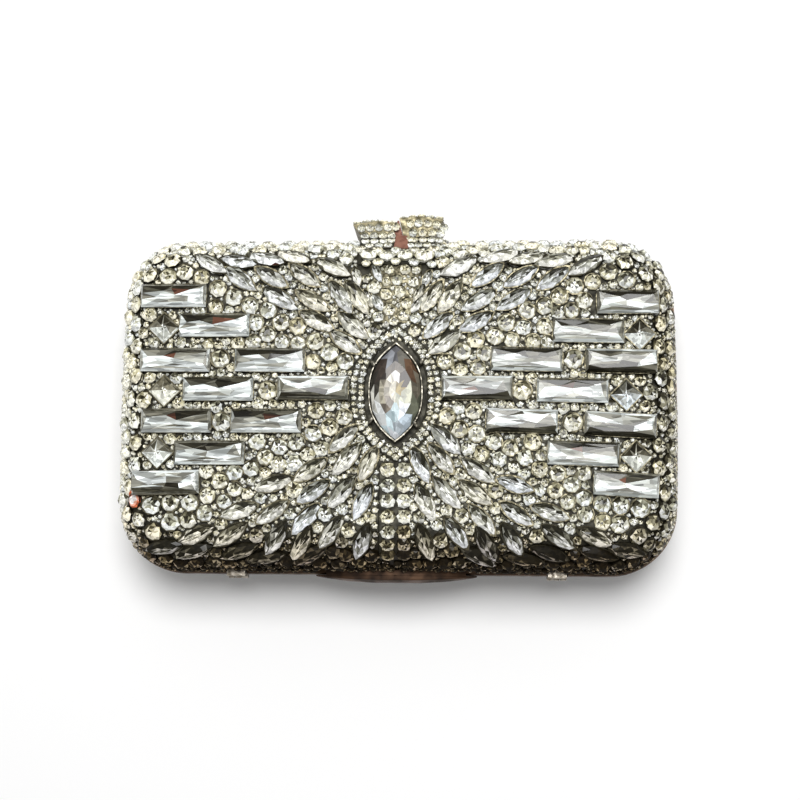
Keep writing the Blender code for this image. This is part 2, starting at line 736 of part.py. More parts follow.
def room_at(place, side):
    """How far a place on a shell lies from the nearest piece that stands on it; both hands are alike."""
    place = (abs(place[0]), place[1])
    base_width = CLASP_BASE_WIDTH / 2
    rooms = [halo_room(place), span_room(place, (-base_width, base_width), (clasp_base_span()[0], HALF_HEIGHT))]
    if side == BACK:
        rooms.append(span_room(place, *field_span()))
        return min(rooms)
    top_width = TOP_STRIP_WIDTH / 2
    low_width = BOTTOM_STRIP_WIDTH / 2
    rooms.append(span_room(place, (-top_width, top_width), (TOP_STRIP_START, HALF_HEIGHT)))
    rooms.append(span_room(place, (-low_width, low_width), (-HALF_HEIGHT, BOTTOM_STRIP_START)))
    rooms += [box_room(place, middle, BAGUETTE_LENGTH, BAGUETTE_WIDTH) for middle in baguette_places()]
    rooms += [box_room(place, middle, SQUARE_SIDE, SQUARE_SIDE, math.pi / 4) for middle in square_places()]
    return min(rooms)


def marquise(scale_share):
    """Outline of a marquise, long along its own first axis."""
    arcs = navette(MARQUISE_LENGTH * scale_share, MARQUISE_WIDTH * scale_share, STONE_SPANS)
    return [(along, -across) for across, along in arcs]


def round_stone(scale_share):
    return circle(ROUND_WIDTH * scale_share / 2, 2 * STONE_SPANS)


def field_places():
    """Every stone of the field: its outline, its place, its turn, and its levels as (scale, rise)."""
    marquise_levels = ((1, MARQUISE_GIRDLE), (TABLE_SHARE, MARQUISE_RISE))
    round_levels = ((TABLE_SHARE, ROUND_RISE),)
    stones = []
    for x_share, y_share, degrees in MARQUISE_SHARES:
        stones.append((marquise, (x_share * HALF_WIDTH, y_share * HALF_HEIGHT), degrees, marquise_levels))
    for first, last, count in ROUND_ROW_SHARES:
        for i in range(count):
            x_share, y_share = (a + (b - a) * i / (count - 1) for a, b in zip(first, last))
            stones.append((round_stone, (x_share * HALF_WIDTH, y_share * HALF_HEIGHT), 0, round_levels))
    return stones


def glued_stone(outline, place, degrees, levels, hand, side):
    """A stone on the dome: its foot is sunk along the shell, its upper rings stand square to it. None where it
    would touch a neighbour or hang over the rim."""
    turn = math.radians(degrees)
    normal = shell_normal(*place)
    middle = Vector((*place, shell_height(*place)))
    along = Vector((math.cos(turn), math.sin(turn), 0))
    along = (along - along.dot(normal) * normal).normalized()
    across = normal.cross(along)
    feet = [middle + along * u + across * v for u, v in outline(1)]
    for foot in feet:
        if room_at(foot, side) < 2 * GAP or inset_at(foot.x, foot.y) < LOWEST_INSET:
            return None
    rings = [[Vector((foot.x, foot.y, shell_height(foot.x, foot.y) - FUSE)) for foot in feet]]
    for share, rise in levels:
        rings.append([middle + along * u + across * v + normal * rise for u, v in outline(share)])
    mesh = loft([[world(hand * p.x, p.y, p.z, side) for p in ring] for ring in rings])
    mesh.faces.ensure_lookup_table()
    under = bmesh.ops.poke(mesh, faces=[mesh.faces[-2]])["verts"][0]
    under.co = world(hand * middle.x, middle.y, middle.z - FUSE, side)
    return mesh


def merged(meshes):
    """Several meshes as one, each where it lies."""
    whole = bmesh.new()
    for mesh in meshes:
        part = bpy.data.meshes.new("part")
        mesh.to_mesh(part)
        mesh.free()
        whole.from_mesh(part)
        bpy.data.meshes.remove(part)
    return whole


def add_glued_stones(shell, side):
    """Marquises and rounds of a half, glued to its shell on both hands."""
    stones = []
    for hand in (RIGHT, LEFT):
        stones += [glued_stone(*stone, hand, side) for stone in field_places()]
    helper = add_helper(f"{shell.name}_stones", merged([stone for stone in stones if stone]))
    combine(shell, helper, "UNION")
    shell.modifiers[helper.name].use_self = True


def build():
    clear_scene()
    brass = material("brass_frame", (0.42, 0.30, 0.17), 0.3, 1.0)
    shell_metal = material("dark_shell_metal", (0.10, 0.095, 0.075), 0.45, 1.0)
    lining_cloth = material("lining_cloth", (0.035, 0.033, 0.03), 0.8, 0.0)
    copper = material("copper_catch", (0.30, 0.16, 0.10), 0.45, 1.0)
    pave = material("pave_stones", (0.60, 0.58, 0.47), 0.25, 0.2)
    crystal = material("clear_crystal", (0.62, 0.64, 0.66), 0.1, 0.3)
    steel = material("steel_pin", (0.55, 0.54, 0.52), 0.3, 1.0)

    front = add_pivot("front_half_pivot", HINGE_AXIS)
    add_frame("back_frame", BACK, brass, None)
    add_frame("front_frame", FRONT, brass, front)
    back_shell = add_shell("back_shell", BACK, shell_metal, None)
    add_glued_stones(back_shell, BACK)
    front_shell = add_shell("front_shell", FRONT, shell_metal, front)
    add_glued_stones(front_shell, FRONT)
    add_lining("back_lining", BACK, lining_cloth, None)
    add_lining("front_lining", FRONT, lining_cloth, front)
    add_pocket("slip_pocket", lining_cloth)
    add_hinge("left_hinge", LEFT, steel, front)
    add_hinge("right_hinge", RIGHT, steel, front)
    add_base_plate("back_base_plate", BACK, brass, None)
    add_base_plate("front_base_plate", FRONT, brass, front)

    lever = add_pivot("clasp_lever_pivot", world(PIVOT_OFFSET, PIVOT_Y, POST_MIDDLE, FRONT))
    add_lobe("clasp_lever", RIGHT, RIGHT_LOBE_HEIGHT, pave, lever)
    add_lobe("clasp_fixed_lobe", LEFT, LEFT_LOBE_HEIGHT, pave, None)
    add_clasp_post("front_clasp", RIGHT, brass, front)
    add_clasp_post("back_clasp", LEFT, brass, None)
    add_clasp_spring("clasp_spring", steel, front)
    add_clasp_catch("clasp_catch", copper)
    add_clasp_base("front_clasp_base", FRONT, pave, front)
    add_clasp_base("back_clasp_base", BACK, pave, None)

    add_baguettes(crystal, front)
    add_squares(crystal, front)
    add_jewel("front_jewel", crystal, front)
    bezel = (BEZEL_INNER, BEZEL_OUTER, BEZEL_HEIGHT)
    add_ring("front_jewel_bezel", *bezel, steel, front)
    halo = (HALO_INNER, (HALO_LENGTH, HALO_WIDTH), GAP + PAVE_THICKNESS)
    add_ring("front_halo", *halo, pave, front)
    add_strips(pave, front)
    add_back_field("back_left_stones", LEFT, crystal)
    add_back_field("back_right_stones", RIGHT, crystal)
    add_back_centre("back_centre_stones", crystal)


build()
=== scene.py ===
"""Evening clutch with a hard case, set all over with cut glass, seen lying on its back.

Lengths are metres. +X runs across the width, +Y to the clasp, +Z up to the front face. Places on a half of
the case are worked out as (x, y, height over the meeting plane); the back half is the front one mirrored.
"""

import math

import bmesh
import bpy
import numpy as np
from mathutils import Matrix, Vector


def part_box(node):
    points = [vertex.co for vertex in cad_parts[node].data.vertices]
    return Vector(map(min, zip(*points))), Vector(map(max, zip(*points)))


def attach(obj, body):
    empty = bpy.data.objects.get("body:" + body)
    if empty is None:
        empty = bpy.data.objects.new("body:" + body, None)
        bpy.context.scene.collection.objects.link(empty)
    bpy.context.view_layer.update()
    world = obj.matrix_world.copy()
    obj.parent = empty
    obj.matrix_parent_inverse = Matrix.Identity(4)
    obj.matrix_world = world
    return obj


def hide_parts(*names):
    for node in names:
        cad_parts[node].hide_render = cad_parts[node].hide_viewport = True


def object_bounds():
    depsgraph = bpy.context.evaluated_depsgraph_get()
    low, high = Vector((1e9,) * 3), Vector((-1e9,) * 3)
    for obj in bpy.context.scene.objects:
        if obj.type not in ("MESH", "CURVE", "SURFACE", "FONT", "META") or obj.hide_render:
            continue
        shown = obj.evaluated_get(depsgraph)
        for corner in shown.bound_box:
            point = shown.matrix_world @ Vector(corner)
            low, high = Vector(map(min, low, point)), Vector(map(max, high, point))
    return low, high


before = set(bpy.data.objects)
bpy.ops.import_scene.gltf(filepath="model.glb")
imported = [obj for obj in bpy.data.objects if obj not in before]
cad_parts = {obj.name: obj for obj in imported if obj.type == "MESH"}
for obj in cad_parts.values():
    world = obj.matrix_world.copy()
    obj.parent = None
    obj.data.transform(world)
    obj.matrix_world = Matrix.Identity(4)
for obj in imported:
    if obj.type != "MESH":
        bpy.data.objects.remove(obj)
cad_low, cad_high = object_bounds()

# Camera. A phone held half a metre over the bag, a little towards its lower edge and its right end, so
# that the base plate and the right side of the rim come into view.
PICTURE_SIZE = 800
CAMERA_DISTANCE = 0.5
CAMERA_SPAN = 0.2760
CAMERA_AIM_X = 0.0006
CAMERA_AIM_Y = 0.0031
CAMERA_RIGHT = math.radians(3)
CAMERA_LOW = math.radians(7.5)
CAMERA_ROLL = math.radians(0.5)


def unit(vectors):
    """Vectors divided by their length."""
    return vectors / np.maximum(np.linalg.norm(vectors, axis=-1, keepdims=True), 1e-12)


mid_plane = (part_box("front_frame")[0].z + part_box("back_frame")[1].z) / 2
camera_aim = np.array((CAMERA_AIM_X, CAMERA_AIM_Y, mid_plane))
toward = unit(np.array((math.tan(CAMERA_RIGHT), -math.tan(CAMERA_LOW), 1.0)))
level_right = unit(np.cross((0.0, 1.0, 0.0), toward))
level_up = np.cross(toward, level_right)
camera_right = math.cos(CAMERA_ROLL) * level_right + math.sin(CAMERA_ROLL) * level_up
camera_up = np.cross(toward, camera_right)
camera_eye = camera_aim + CAMERA_DISTANCE * toward

camera_data = bpy.data.cameras.new("camera")
camera_data.lens = camera_data.sensor_width * CAMERA_DISTANCE / CAMERA_SPAN
camera = bpy.data.objects.new("camera", camera_data)
camera.matrix_world = Matrix(np.column_stack((camera_right, camera_up, toward))).to_4x4()
camera.location = camera_eye
bpy.context.scene.collection.objects.link(camera)
bpy.context.scene.camera = camera

# Rim frames. Two cast brass rims, one on each half, that meet at the middle plane: a rounded lip outside,
# a fine groove under it, and a notch for each hinge in the edge away from the clasp.
RIM_RADIUS = 0.022
SIDE_CROWN = 0.0015
RIM_HEIGHT = 0.0045
RIM_WIDTH = 0.004
NOTCH_DEPTH = 0.0026
HINGE_SPACING = 0.108
NOTCH_LENGTH = 0.0072
RIM_STEP = 0.00015
CORNER_STEPS = 20
SIDE_STEPS = 24
END_STEPS = 14
BRASS = (0.40, 0.27, 0.19)
BRASS_DARK = (0.11, 0.07, 0.04)
# Painted shade on the metals towards the lower edge: its dark brown, and where along Y it starts and is
# full.
PAINTED_METAL_SHADE_BROWN = (0.020, 0.011, 0.006)
PAINTED_METAL_SHADE_START = -0.044
PAINTED_METAL_SHADE_END = -0.0565
SPECK_SIZE = 1900
BUMP_DEPTH = 0.0001
SHARP_ANGLE = math.radians(40)
WELD_REACH = 1e-7
TARNISH_FROM = 0.36
TARNISH_TO = 0.66
TARNISH_ROUGH = 0.25
SPAN_STEPS = 6

half_width = cad_high.x
half_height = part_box("front_frame")[1].y
centre_x = half_width - SIDE_CROWN - RIM_RADIUS
centre_y = half_height - RIM_RADIUS


def outline_stations(bottom_x):
    """Places round the case, anticlockwise from the right end: points of the rectangle through the
    corners' centres, each with the way straight out. The edge away from the clasp has the x given."""
    quarter = np.linspace(0, math.pi / 2, CORNER_STEPS)
    top_x = np.linspace(centre_x, -centre_x, SIDE_STEPS)[1:-1]
    end_y = np.linspace(centre_y, -centre_y, END_STEPS)[1:-1]
    corners = ((centre_x, centre_y), (-centre_x, centre_y), (-centre_x, -centre_y), (centre_x, -centre_y))
    sides = ((top_x, centre_y), (-centre_x, end_y), (bottom_x, -centre_y), (centre_x, -end_y))
    feet = []
    outs = []
    for number, (corner, side) in enumerate(zip(corners, sides)):
        turn = number * math.pi / 2 + quarter
        straight = (number + 1) * math.pi / 2
        side = np.stack(np.broadcast_arrays(*side), -1)
        feet += [np.broadcast_to(corner, (CORNER_STEPS, 2)), side]
        outs.append(np.stack((np.cos(turn), np.sin(turn)), -1))
        outs.append(np.broadcast_to((math.cos(straight), math.sin(straight)), side.shape))
    return np.concatenate(feet), np.concatenate(outs)


def crown_at(y):
    """How far the ends bow out: a parabola over the height of the case."""
    return SIDE_CROWN * (1 - (y / half_height) ** 2)


def case_rings(insets, heights, feet, outs):
    """Rings of points: each station's foot moved out by the rim's radius less the inset, bowed by the
    crown, at the height given. Insets and heights are one per ring, or one per ring and station."""
    insets = np.asarray(insets, float).reshape(len(insets), -1, 1)
    flat = feet + (RIM_RADIUS - insets) * outs
    x = flat[..., 0] + np.sign(flat[..., 0]) * crown_at(flat[..., 1])
    z = np.broadcast_to(np.asarray(heights, float).reshape(len(heights), -1), x.shape)
    return np.stack((x, flat[..., 1], z), -1)


def loft(rings, capped=False):
    """Points and faces of a surface through closed rings, the last joined to the first, or with a fan to
    the middle of each end ring when capped."""
    count, around, _ = rings.shape
    index = np.arange(count * around).reshape(count, around)
    beside = np.roll(index, -1, axis=1)
    points = rings.reshape(-1, 3)
    if not capped:
        above = np.roll(index, -1, axis=0)
        above_beside = np.roll(beside, -1, axis=0)
        quads = np.stack((index, beside, above_beside, above), -1).reshape(-1, 4)
        return points, quads.tolist()
    quads = np.stack((index[:-1], beside[:-1], beside[1:], index[1:]), -1).reshape(-1, 4)
    poles = np.stack((rings[0].mean(0), rings[-1].mean(0)))
    low = np.full(around, len(points))
    high = low + 1
    fans = np.concatenate(
        (np.stack((beside[0], index[0], low), -1), np.stack((index[-1], beside[-1], high), -1))
    )
    return np.concatenate((points, poles)), quads.tolist() + fans.tolist()


def in_half(points, half):
    """Half coordinates as places in the row frame: the height counts up in front, down in the back."""
    placed = np.array(points, float)
    placed[..., 2] = mid_plane + (placed[..., 2] if half == "front" else -placed[..., 2])
    return placed


def linked(name, mesh, finish):
    """The mesh as a piece of the scene, in one finish."""
    mesh.materials.append(finish)
    piece = bpy.data.objects.new(name, mesh)
    bpy.context.scene.collection.objects.link(piece)
    return piece


def add_surface(name, points, faces, finish, sharp=SHARP_ANGLE):
    """A piece from points and faces, its normals turned outward, smooth but for edges over the angle."""
    mesh = bpy.data.meshes.new(name)
    mesh.from_pydata(points.tolist(), [], faces)
    turned = bmesh.new()
    turned.from_mesh(mesh)
    bmesh.ops.remove_doubles(turned, verts=turned.verts, dist=WELD_REACH)
    bmesh.ops.recalc_face_normals(turned, faces=turned.faces)
    turned.to_mesh(mesh)
    turned.free()
    mesh.shade_smooth()
    mesh.set_sharp_from_angle(angle=sharp)
    return linked(name, mesh, finish)


def seat(piece, body, slot, *nodes):
    """The piece rides its body, and stands in for those of the nodes named that the part has. The slot is
    not used."""
    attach(piece, body)
    replaced = [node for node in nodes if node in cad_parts]
    if replaced:
        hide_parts(*replaced)


def add_part(label, half, surface, finish, slot, *nodes, sharp=SHARP_ANGLE):
    """A piece of one half, from the points and faces of a surface over the meeting plane."""
    points, faces = surface
    piece = add_surface(f"{half}_{label}", in_half(points, half), faces, finish, sharp)
    seat(piece, f"{half}_half", slot, *nodes)


def new_finish(name, roughness, metallic=0.0):
    """A material with its Principled shader, and the tree to build in."""
    finish = bpy.data.materials.new(name)
    finish.use_nodes = True
    shader = finish.node_tree.nodes["Principled BSDF"]
    shader.inputs["Roughness"].default_value = roughness
    shader.inputs["Metallic"].default_value = metallic
    return finish, finish.node_tree, shader


def new_group(name, inputs, outputs):
    """An empty shader group with the sockets named, and its two end nodes."""
    group = bpy.data.node_groups.new(name, "ShaderNodeTree")
    for side, sockets in (("INPUT", inputs), ("OUTPUT", outputs)):
        for label, kind in sockets.items():
            group.interface.new_socket(label, in_out=side, socket_type=f"NodeSocket{kind}")
    return group, group.nodes.new("NodeGroupInput"), group.nodes.new("NodeGroupOutput")


def new_node(tree, kind, values=(), **settings):
    """A shader node with its settings, and the values of its inputs by name or number."""
    node = tree.nodes.new(f"ShaderNode{kind}")
    for label, setting in settings.items():
        setattr(node, label, setting)
    for label, value in dict(values).items():
        node.inputs[label].default_value = value
    return node


def wire(tree, *links):
    """Links, each from the output of one node to the input of another."""
    for source, output, target, socket in links:
        tree.links.new(source.outputs[output], target.inputs[socket])


def tarnish_and_shade_group():
    """Aged metal: cloudy tarnish and finer specks, and painted shade that turns it darker and browner
    towards the lower edge.
    """
    group, given, result = new_group(
        "aged_metal_painted_shade",
        {"Bright": "Color", "Dark": "Color", "Cloud Size": "Float", "Gloss": "Float", "Painted Shade": "Float"},
        {"Colour": "Color", "Roughness": "Float", "Height": "Float"},
    )
    place = new_node(group, "TexCoord")
    cloud = new_node(group, "TexNoise", {"Detail": 5})
    speck = new_node(group, "TexNoise", {"Scale": SPECK_SIZE, "Detail": 2})
    mask = new_node(group, "MapRange", {"From Min": TARNISH_FROM, "From Max": TARNISH_TO})
    metal = new_node(group, "Mix", data_type="RGBA")
    rough = new_node(group, "Math", {1: TARNISH_ROUGH}, operation="MULTIPLY_ADD")
    # Painted shade: towards the lower edge the colour goes over to dark brown, by the share given.
    axes = new_node(group, "SeparateXYZ")
    low = new_node(group, "MapRange", {"From Min": PAINTED_METAL_SHADE_START, "From Max": PAINTED_METAL_SHADE_END})
    share = new_node(group, "Math", operation="MULTIPLY")
    painted_shade = new_node(group, "Mix", data_type="RGBA")
    painted_shade.inputs["B"].default_value = (*PAINTED_METAL_SHADE_BROWN, 1)
    wire(
        group,
        (place, "Object", cloud, "Vector"),
        (place, "Object", speck, "Vector"),
        (place, "Object", axes, "Vector"),
        (given, "Cloud Size", cloud, "Scale"),
        (cloud, "Fac", mask, "Value"),
        (mask, "Result", metal, "Factor"),
        (given, "Bright", metal, "A"),
        (given, "Dark", metal, "B"),
        (axes, "Y", low, "Value"),
        (low, "Result", share, 0),
        (given, "Painted Shade", share, 1),
        (share, "Value", painted_shade, "Factor"),
        (metal, "Result", painted_shade, "A"),
        (mask, "Result", rough, 0),
        (given, "Gloss", rough, 2),
        (painted_shade, "Result", result, "Colour"),
        (rough, "Value", result, "Roughness"),
        (speck, "Fac", result, "Height"),
    )
    return group


tarnish_and_shade = tarnish_and_shade_group()


def aged_finish_with_painted_shade(name, bright, dark, cloud_size, gloss, bump, metallic=1.0, painted_shade=0.85):
    """A metal whose colour, roughness and bump come from the group of tarnish and painted shade, with this
    share of painted shade towards the lower edge.
    """
    finish, tree, shader = new_finish(name, gloss, metallic)
    values = {"Bright": (*bright, 1), "Dark": (*dark, 1), "Cloud Size": cloud_size, "Gloss": gloss}
    values["Painted Shade"] = painted_shade
    group = new_node(tree, "Group", values, node_tree=tarnish_and_shade)
    relief = new_node(tree, "Bump", {"Strength": bump, "Distance": BUMP_DEPTH})
    wire(
        tree,
        (group, "Colour", shader, "Base Color"),
        (group, "Roughness", shader, "Roughness"),
        (group, "Height", relief, "Height"),
        (relief, "Normal", shader, "Normal"),
    )
    return finish


brass = aged_finish_with_painted_shade("aged_brass", BRASS, BRASS_DARK, 260, 0.28, 0.25)

notch_edges = [hand * HINGE_SPACING / 2 + end * NOTCH_LENGTH / 2 for hand in (-1, 1) for end in (-1, 1)]
stops = (-centre_x, *notch_edges, centre_x)
spans = [np.linspace(start, end, SPAN_STEPS) for start, end in zip(stops, stops[1:])]
spans[0] = spans[0][1:]
spans[-1] = spans[-1][:-1]
in_notch = np.concatenate([np.full(len(span), k % 2) for k, span in enumerate(spans)])
rim_feet, rim_outs = outline_stations(np.concatenate(spans))
notched = np.zeros(len(rim_feet))
bottom_start = 3 * CORNER_STEPS + (SIDE_STEPS - 2) + (END_STEPS - 2)
notched[bottom_start : bottom_start + len(in_notch)] = in_notch

# Section of the rim as shares: (across its width from outside, up its height).
RIM_SECTION = np.array((
    (1.00, 0.00), (0.20, 0.00), (0.07, 0.03), (0.00, 0.12), (0.00, 0.34), (0.05, 0.40), (0.11, 0.43),
    (0.11, 0.48), (0.05, 0.51), (0.01, 0.58), (0.03, 0.74), (0.12, 0.88), (0.28, 0.97), (0.46, 1.00),
    (1.00, 1.00),
))
insets = np.maximum(RIM_SECTION[:, :1] * RIM_WIDTH, notched[None] * NOTCH_DEPTH)
rings = case_rings(insets, RIM_STEP + RIM_SECTION[:, 1] * RIM_HEIGHT, rim_feet, rim_outs)
for half in ("front", "back"):
    add_part("rim", half, loft(rings), brass, "brass_frame", f"{half}_frame")

# Shells. Each half is a pressed metal dome with a rolled edge, soldered inside its rim and coloured dark
# olive, partly its own colour and partly painted shade, so that the gaps between the stones stay dark.
EDGE_ROUNDING = 0.013
SHELL_INSET = 0.002
SHELL_WALL = 0.001
DOME_TOP = 0.021
DOME_STEPS = 16
FLAT_SHARES = (0.12, 0.4, 0.7)
# Dark olive, darkened as painted shade in the gaps between the stones; the black is its darker tarnish.
SHELL_OLIVE = (0.048, 0.044, 0.027)
SHELL_BLACK = (0.013, 0.012, 0.007)

dome_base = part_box("front_shell")[0].z - mid_plane
shell_corner = RIM_RADIUS - SHELL_INSET
shell_feet, shell_outs = outline_stations(np.linspace(-centre_x, centre_x, SIDE_STEPS)[1:-1])


def dome_body(inside, wall):
    """A closed dome of this wall that lies this far inside the case: its faces rise by a quarter ellipse
    from the edge and run on to the middle as rings scaled by the flat's shares."""
    angle = np.linspace(0, math.pi / 2, DOME_STEPS)
    shrink = np.array(FLAT_SHARES).reshape(-1, 1, 1)
    rings = []
    for depth in (inside, inside + wall):
        insets = SHELL_INSET + depth + (EDGE_ROUNDING - depth) * (1 - np.cos(angle))
        heights = dome_base + (DOME_TOP - depth - dome_base) * np.sin(angle)
        dome = case_rings(insets, heights, shell_feet, shell_outs)
        flat = dome[-1:] * np.concatenate((shrink, shrink, np.ones_like(shrink)), -1)
        rings.append(np.concatenate((flat, dome[::-1])))
    return loft(np.concatenate((rings[0], rings[1][::-1])), capped=True)


olive_and_shade = aged_finish_with_painted_shade("olive_painted_shade", SHELL_OLIVE, SHELL_BLACK, 420, 0.5, 0.5, metallic=0.4)
for half in ("front", "back"):
    add_part("case_shell", half, dome_body(0, SHELL_WALL), olive_and_shade, "dark_shell_metal", f"{half}_shell")

# Linings and slip pocket. Satin over thin board lines each half, with a padded edge where it meets the
# rim; the pocket on the back lining is a satin panel with a stitched hem, sewn down on three sides.
LINING_GAP = 0.0003
LINING_WALL = 0.0012
SATIN = (0.52, 0.47, 0.38)
SATIN_SHADE = (0.40, 0.355, 0.28)
SATIN_SHEEN = 0.35
SATIN_WEAVE = 260
SATIN_CLOUD = 55
POCKET_HALF_X = 0.055
POCKET_HALF_Y = 0.0275
POCKET_THICKNESS = 0.0012
POCKET_FLOOR_GAP = 0.0003
POCKET_POWER = 0.12
POCKET_STEPS = 96
# Rings of the pocket as shares: (of its half sizes, of its thickness).
POCKET_SHARES = np.array((
    (0.00, 0.00), (0.15, 0.00), (0.45, 0.00), (0.80, 0.00), (1.00, 0.00), (1.00, 0.55), (0.97, 0.85),
    (0.90, 1.00), (0.60, 0.92), (0.25, 0.97), (0.05, 1.00),
))


def satin_finish():
    """Champagne satin: a fine diagonal weave as relief, and a soft change of shade."""
    finish, tree, shader = new_finish("champagne_satin", 0.42)
    shader.inputs["Sheen Weight"].default_value = SATIN_SHEEN
    shader.inputs["Sheen Roughness"].default_value = SATIN_SHEEN
    place = new_node(tree, "TexCoord")
    values = {"Scale": SATIN_WEAVE, "Distortion": 1.5, "Detail": 2}
    weave = new_node(tree, "TexWave", values, bands_direction="DIAGONAL")
    cloud = new_node(tree, "TexNoise", {"Scale": SATIN_CLOUD, "Detail": 4})
    shade = new_node(tree, "Mix", {"A": (*SATIN, 1), "B": (*SATIN_SHADE, 1)}, data_type="RGBA")
    relief = new_node(tree, "Bump", {"Strength": 0.2, "Distance": BUMP_DEPTH})
    wire(
        tree,
        (place, "Object", weave, "Vector"),
        (place, "Object", cloud, "Vector"),
        (cloud, "Fac", shade, "Factor"),
        (shade, "Result", shader, "Base Color"),
        (weave, "Fac", relief, "Height"),
        (relief, "Normal", shader, "Normal"),
    )
    return finish


satin = satin_finish()
for half in ("front", "back"):
    lining = dome_body(SHELL_WALL + LINING_GAP, LINING_WALL)
    add_part("satin_lining", half, lining, satin, "lining_cloth", f"{half}_lining")


def pocket_rings():
    """A flat pad: a superellipse, its cosine and sine to a small power, at the shares."""
    turn = np.linspace(0, math.tau, POCKET_STEPS, endpoint=False)
    squared_x = np.sign(np.cos(turn)) * np.abs(np.cos(turn)) ** POCKET_POWER
    squared_y = np.sign(np.sin(turn)) * np.abs(np.sin(turn)) ** POCKET_POWER
    shares, rise = POCKET_SHARES[:, :1], POCKET_SHARES[:, 1:]
    height = rise * POCKET_THICKNESS * np.ones_like(turn)
    x = shares * squared_x * POCKET_HALF_X
    y = shares * squared_y * POCKET_HALF_Y
    return np.stack((x, y, pocket_floor - height), -1)


pocket_floor = DOME_TOP - SHELL_WALL - LINING_GAP - LINING_WALL - POCKET_FLOOR_GAP
points, faces = loft(pocket_rings(), capped=True)
pocket = add_surface("satin_slip_pocket", in_half(points, "back"), faces, satin)
seat(pocket, "back_half", "lining_cloth", "slip_pocket")

# Hinges and base plates. Steel leaves and pins in the notches of the rims; below them an oval plate,
# split with the halves, that bulges like a lens towards its middle, cast in browner brass.
BASE_HALF_LENGTH = 0.028
BASE_HALF_DEPTH = 0.009
BASE_THICKNESS = 0.0004
BASE_BULGE = 0.0029
BASE_GAP = 0.00005
BASE_PARTING = 0.0021
BASE_SPACER = 0.0048
BASE_BACK = (-0.0003, 0.0017)
BASE_FALL = 0.6
BASE_STEPS = 72
BASE_BROWN = (0.078, 0.038, 0.017)
BASE_BROWN_DARK = (0.022, 0.011, 0.006)
STEEL = (0.45, 0.41, 0.35)
STEEL_DARK = (0.20, 0.17, 0.13)


def refinish(nodes, finish):
    """CAD pieces that stay as they are take this finish."""
    for node in nodes:
        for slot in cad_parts[node].material_slots:
            slot.material = finish


steel = aged_finish_with_painted_shade("worn_steel", STEEL, STEEL_DARK, 700, 0.35, 0.3, painted_shade=0.0)
refinish([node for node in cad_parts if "hinge" in node or node.endswith("clasp_pin")], steel)
refinish(["clasp_spring"], steel)

# Plate of a hinge, which wraps over the rim, as (out from the rim, over the middle plane).
LEAF_SECTION = np.array((
    (-0.0022, 0.0014), (0.0005, 0.0014), (0.0007, 0.0018), (0.0007, 0.0057), (0.0003, 0.0062),
    (-0.0022, 0.0062),
))
LEAF_HALF = 0.0031
LEAF_ENDS = np.array((-1.0, -0.9, 0.9, 1.0))
LEAF_DRAWN = np.array((0.92, 1.0, 1.0, 0.92))
for hand, label in ((-1, "left"), (1, "right")):
    out = -half_height - LEAF_SECTION[None, :, 0] * LEAF_DRAWN[:, None]
    ends = np.broadcast_to((hand * HINGE_SPACING / 2 + LEAF_HALF * LEAF_ENDS)[:, None], out.shape)
    height = np.broadcast_to(LEAF_SECTION[:, 1], out.shape)
    points, faces = loft(np.stack((ends, out, height), -1), capped=True)
    leaf = add_surface(f"{label}_hinge_plate", in_half(points, "front"), faces, steel)
    seat(leaf, "front_half", "steel")

base_finish = aged_finish_with_painted_shade("brown_brass", BASE_BROWN, BASE_BROWN_DARK, 180, 0.5, 0.3, 0.6, painted_shade=0.0)
base_end = math.asin(BASE_PARTING / BASE_HALF_DEPTH)
base_turn = np.linspace(base_end, math.pi - base_end, BASE_STEPS)
base_line = np.stack((BASE_HALF_LENGTH * np.cos(base_turn), BASE_HALF_DEPTH * np.sin(base_turn)), -1)
base_middle = base_line.mean(0)
# Section of the plate as shares: (drawn in towards the middle, through its thickness from the case out).
BASE_SECTION = np.array((
    (0.00, 0.0), (0.00, 0.7), (0.012, 0.9), (0.035, 1.0), (0.15, 1.0), (0.4, 1.0), (0.7, 1.0),
))
drawn = base_line[None] + BASE_SECTION[:, :1, None] * (base_middle - base_line)[None]
round_off = 1 - (drawn[..., 0] / BASE_HALF_LENGTH) ** 2
round_off = round_off - BASE_FALL * (drawn[..., 1] / BASE_HALF_DEPTH) ** 2
thick = BASE_THICKNESS + BASE_BULGE * np.maximum(round_off, 0)
out = -half_height - BASE_GAP - BASE_SECTION[:, 1:] * thick
points, faces = loft(np.stack((drawn[..., 0], out, drawn[..., 1]), -1), capped=True)
spacer = base_line[base_line[:, 1] > BASE_SPACER]
rings = np.stack([np.insert(spacer, 1, back - half_height, axis=1) for back in BASE_BACK])
spacer_points, spacer_faces = loft(rings, capped=True)
faces += [[corner + len(points) for corner in face] for face in spacer_faces]
points = np.concatenate((points, spacer_points))
for half in ("front", "back"):
    add_part("stand_plate", half, (points, faces), base_finish, "brass_frame", f"{half}_base_plate")

# Baguettes. Twenty long stones of cut glass, 24 x 8 mm, foiled behind, each in a claw cup soldered to the
# shell. Their tables are painted with reflections: a dark band above, a bow-tie of crossed facets and
# ice-white bands below.
BAGUETTE_HALF = (0.0117, 0.0039)
BAGUETTE_RISE = 0.0038
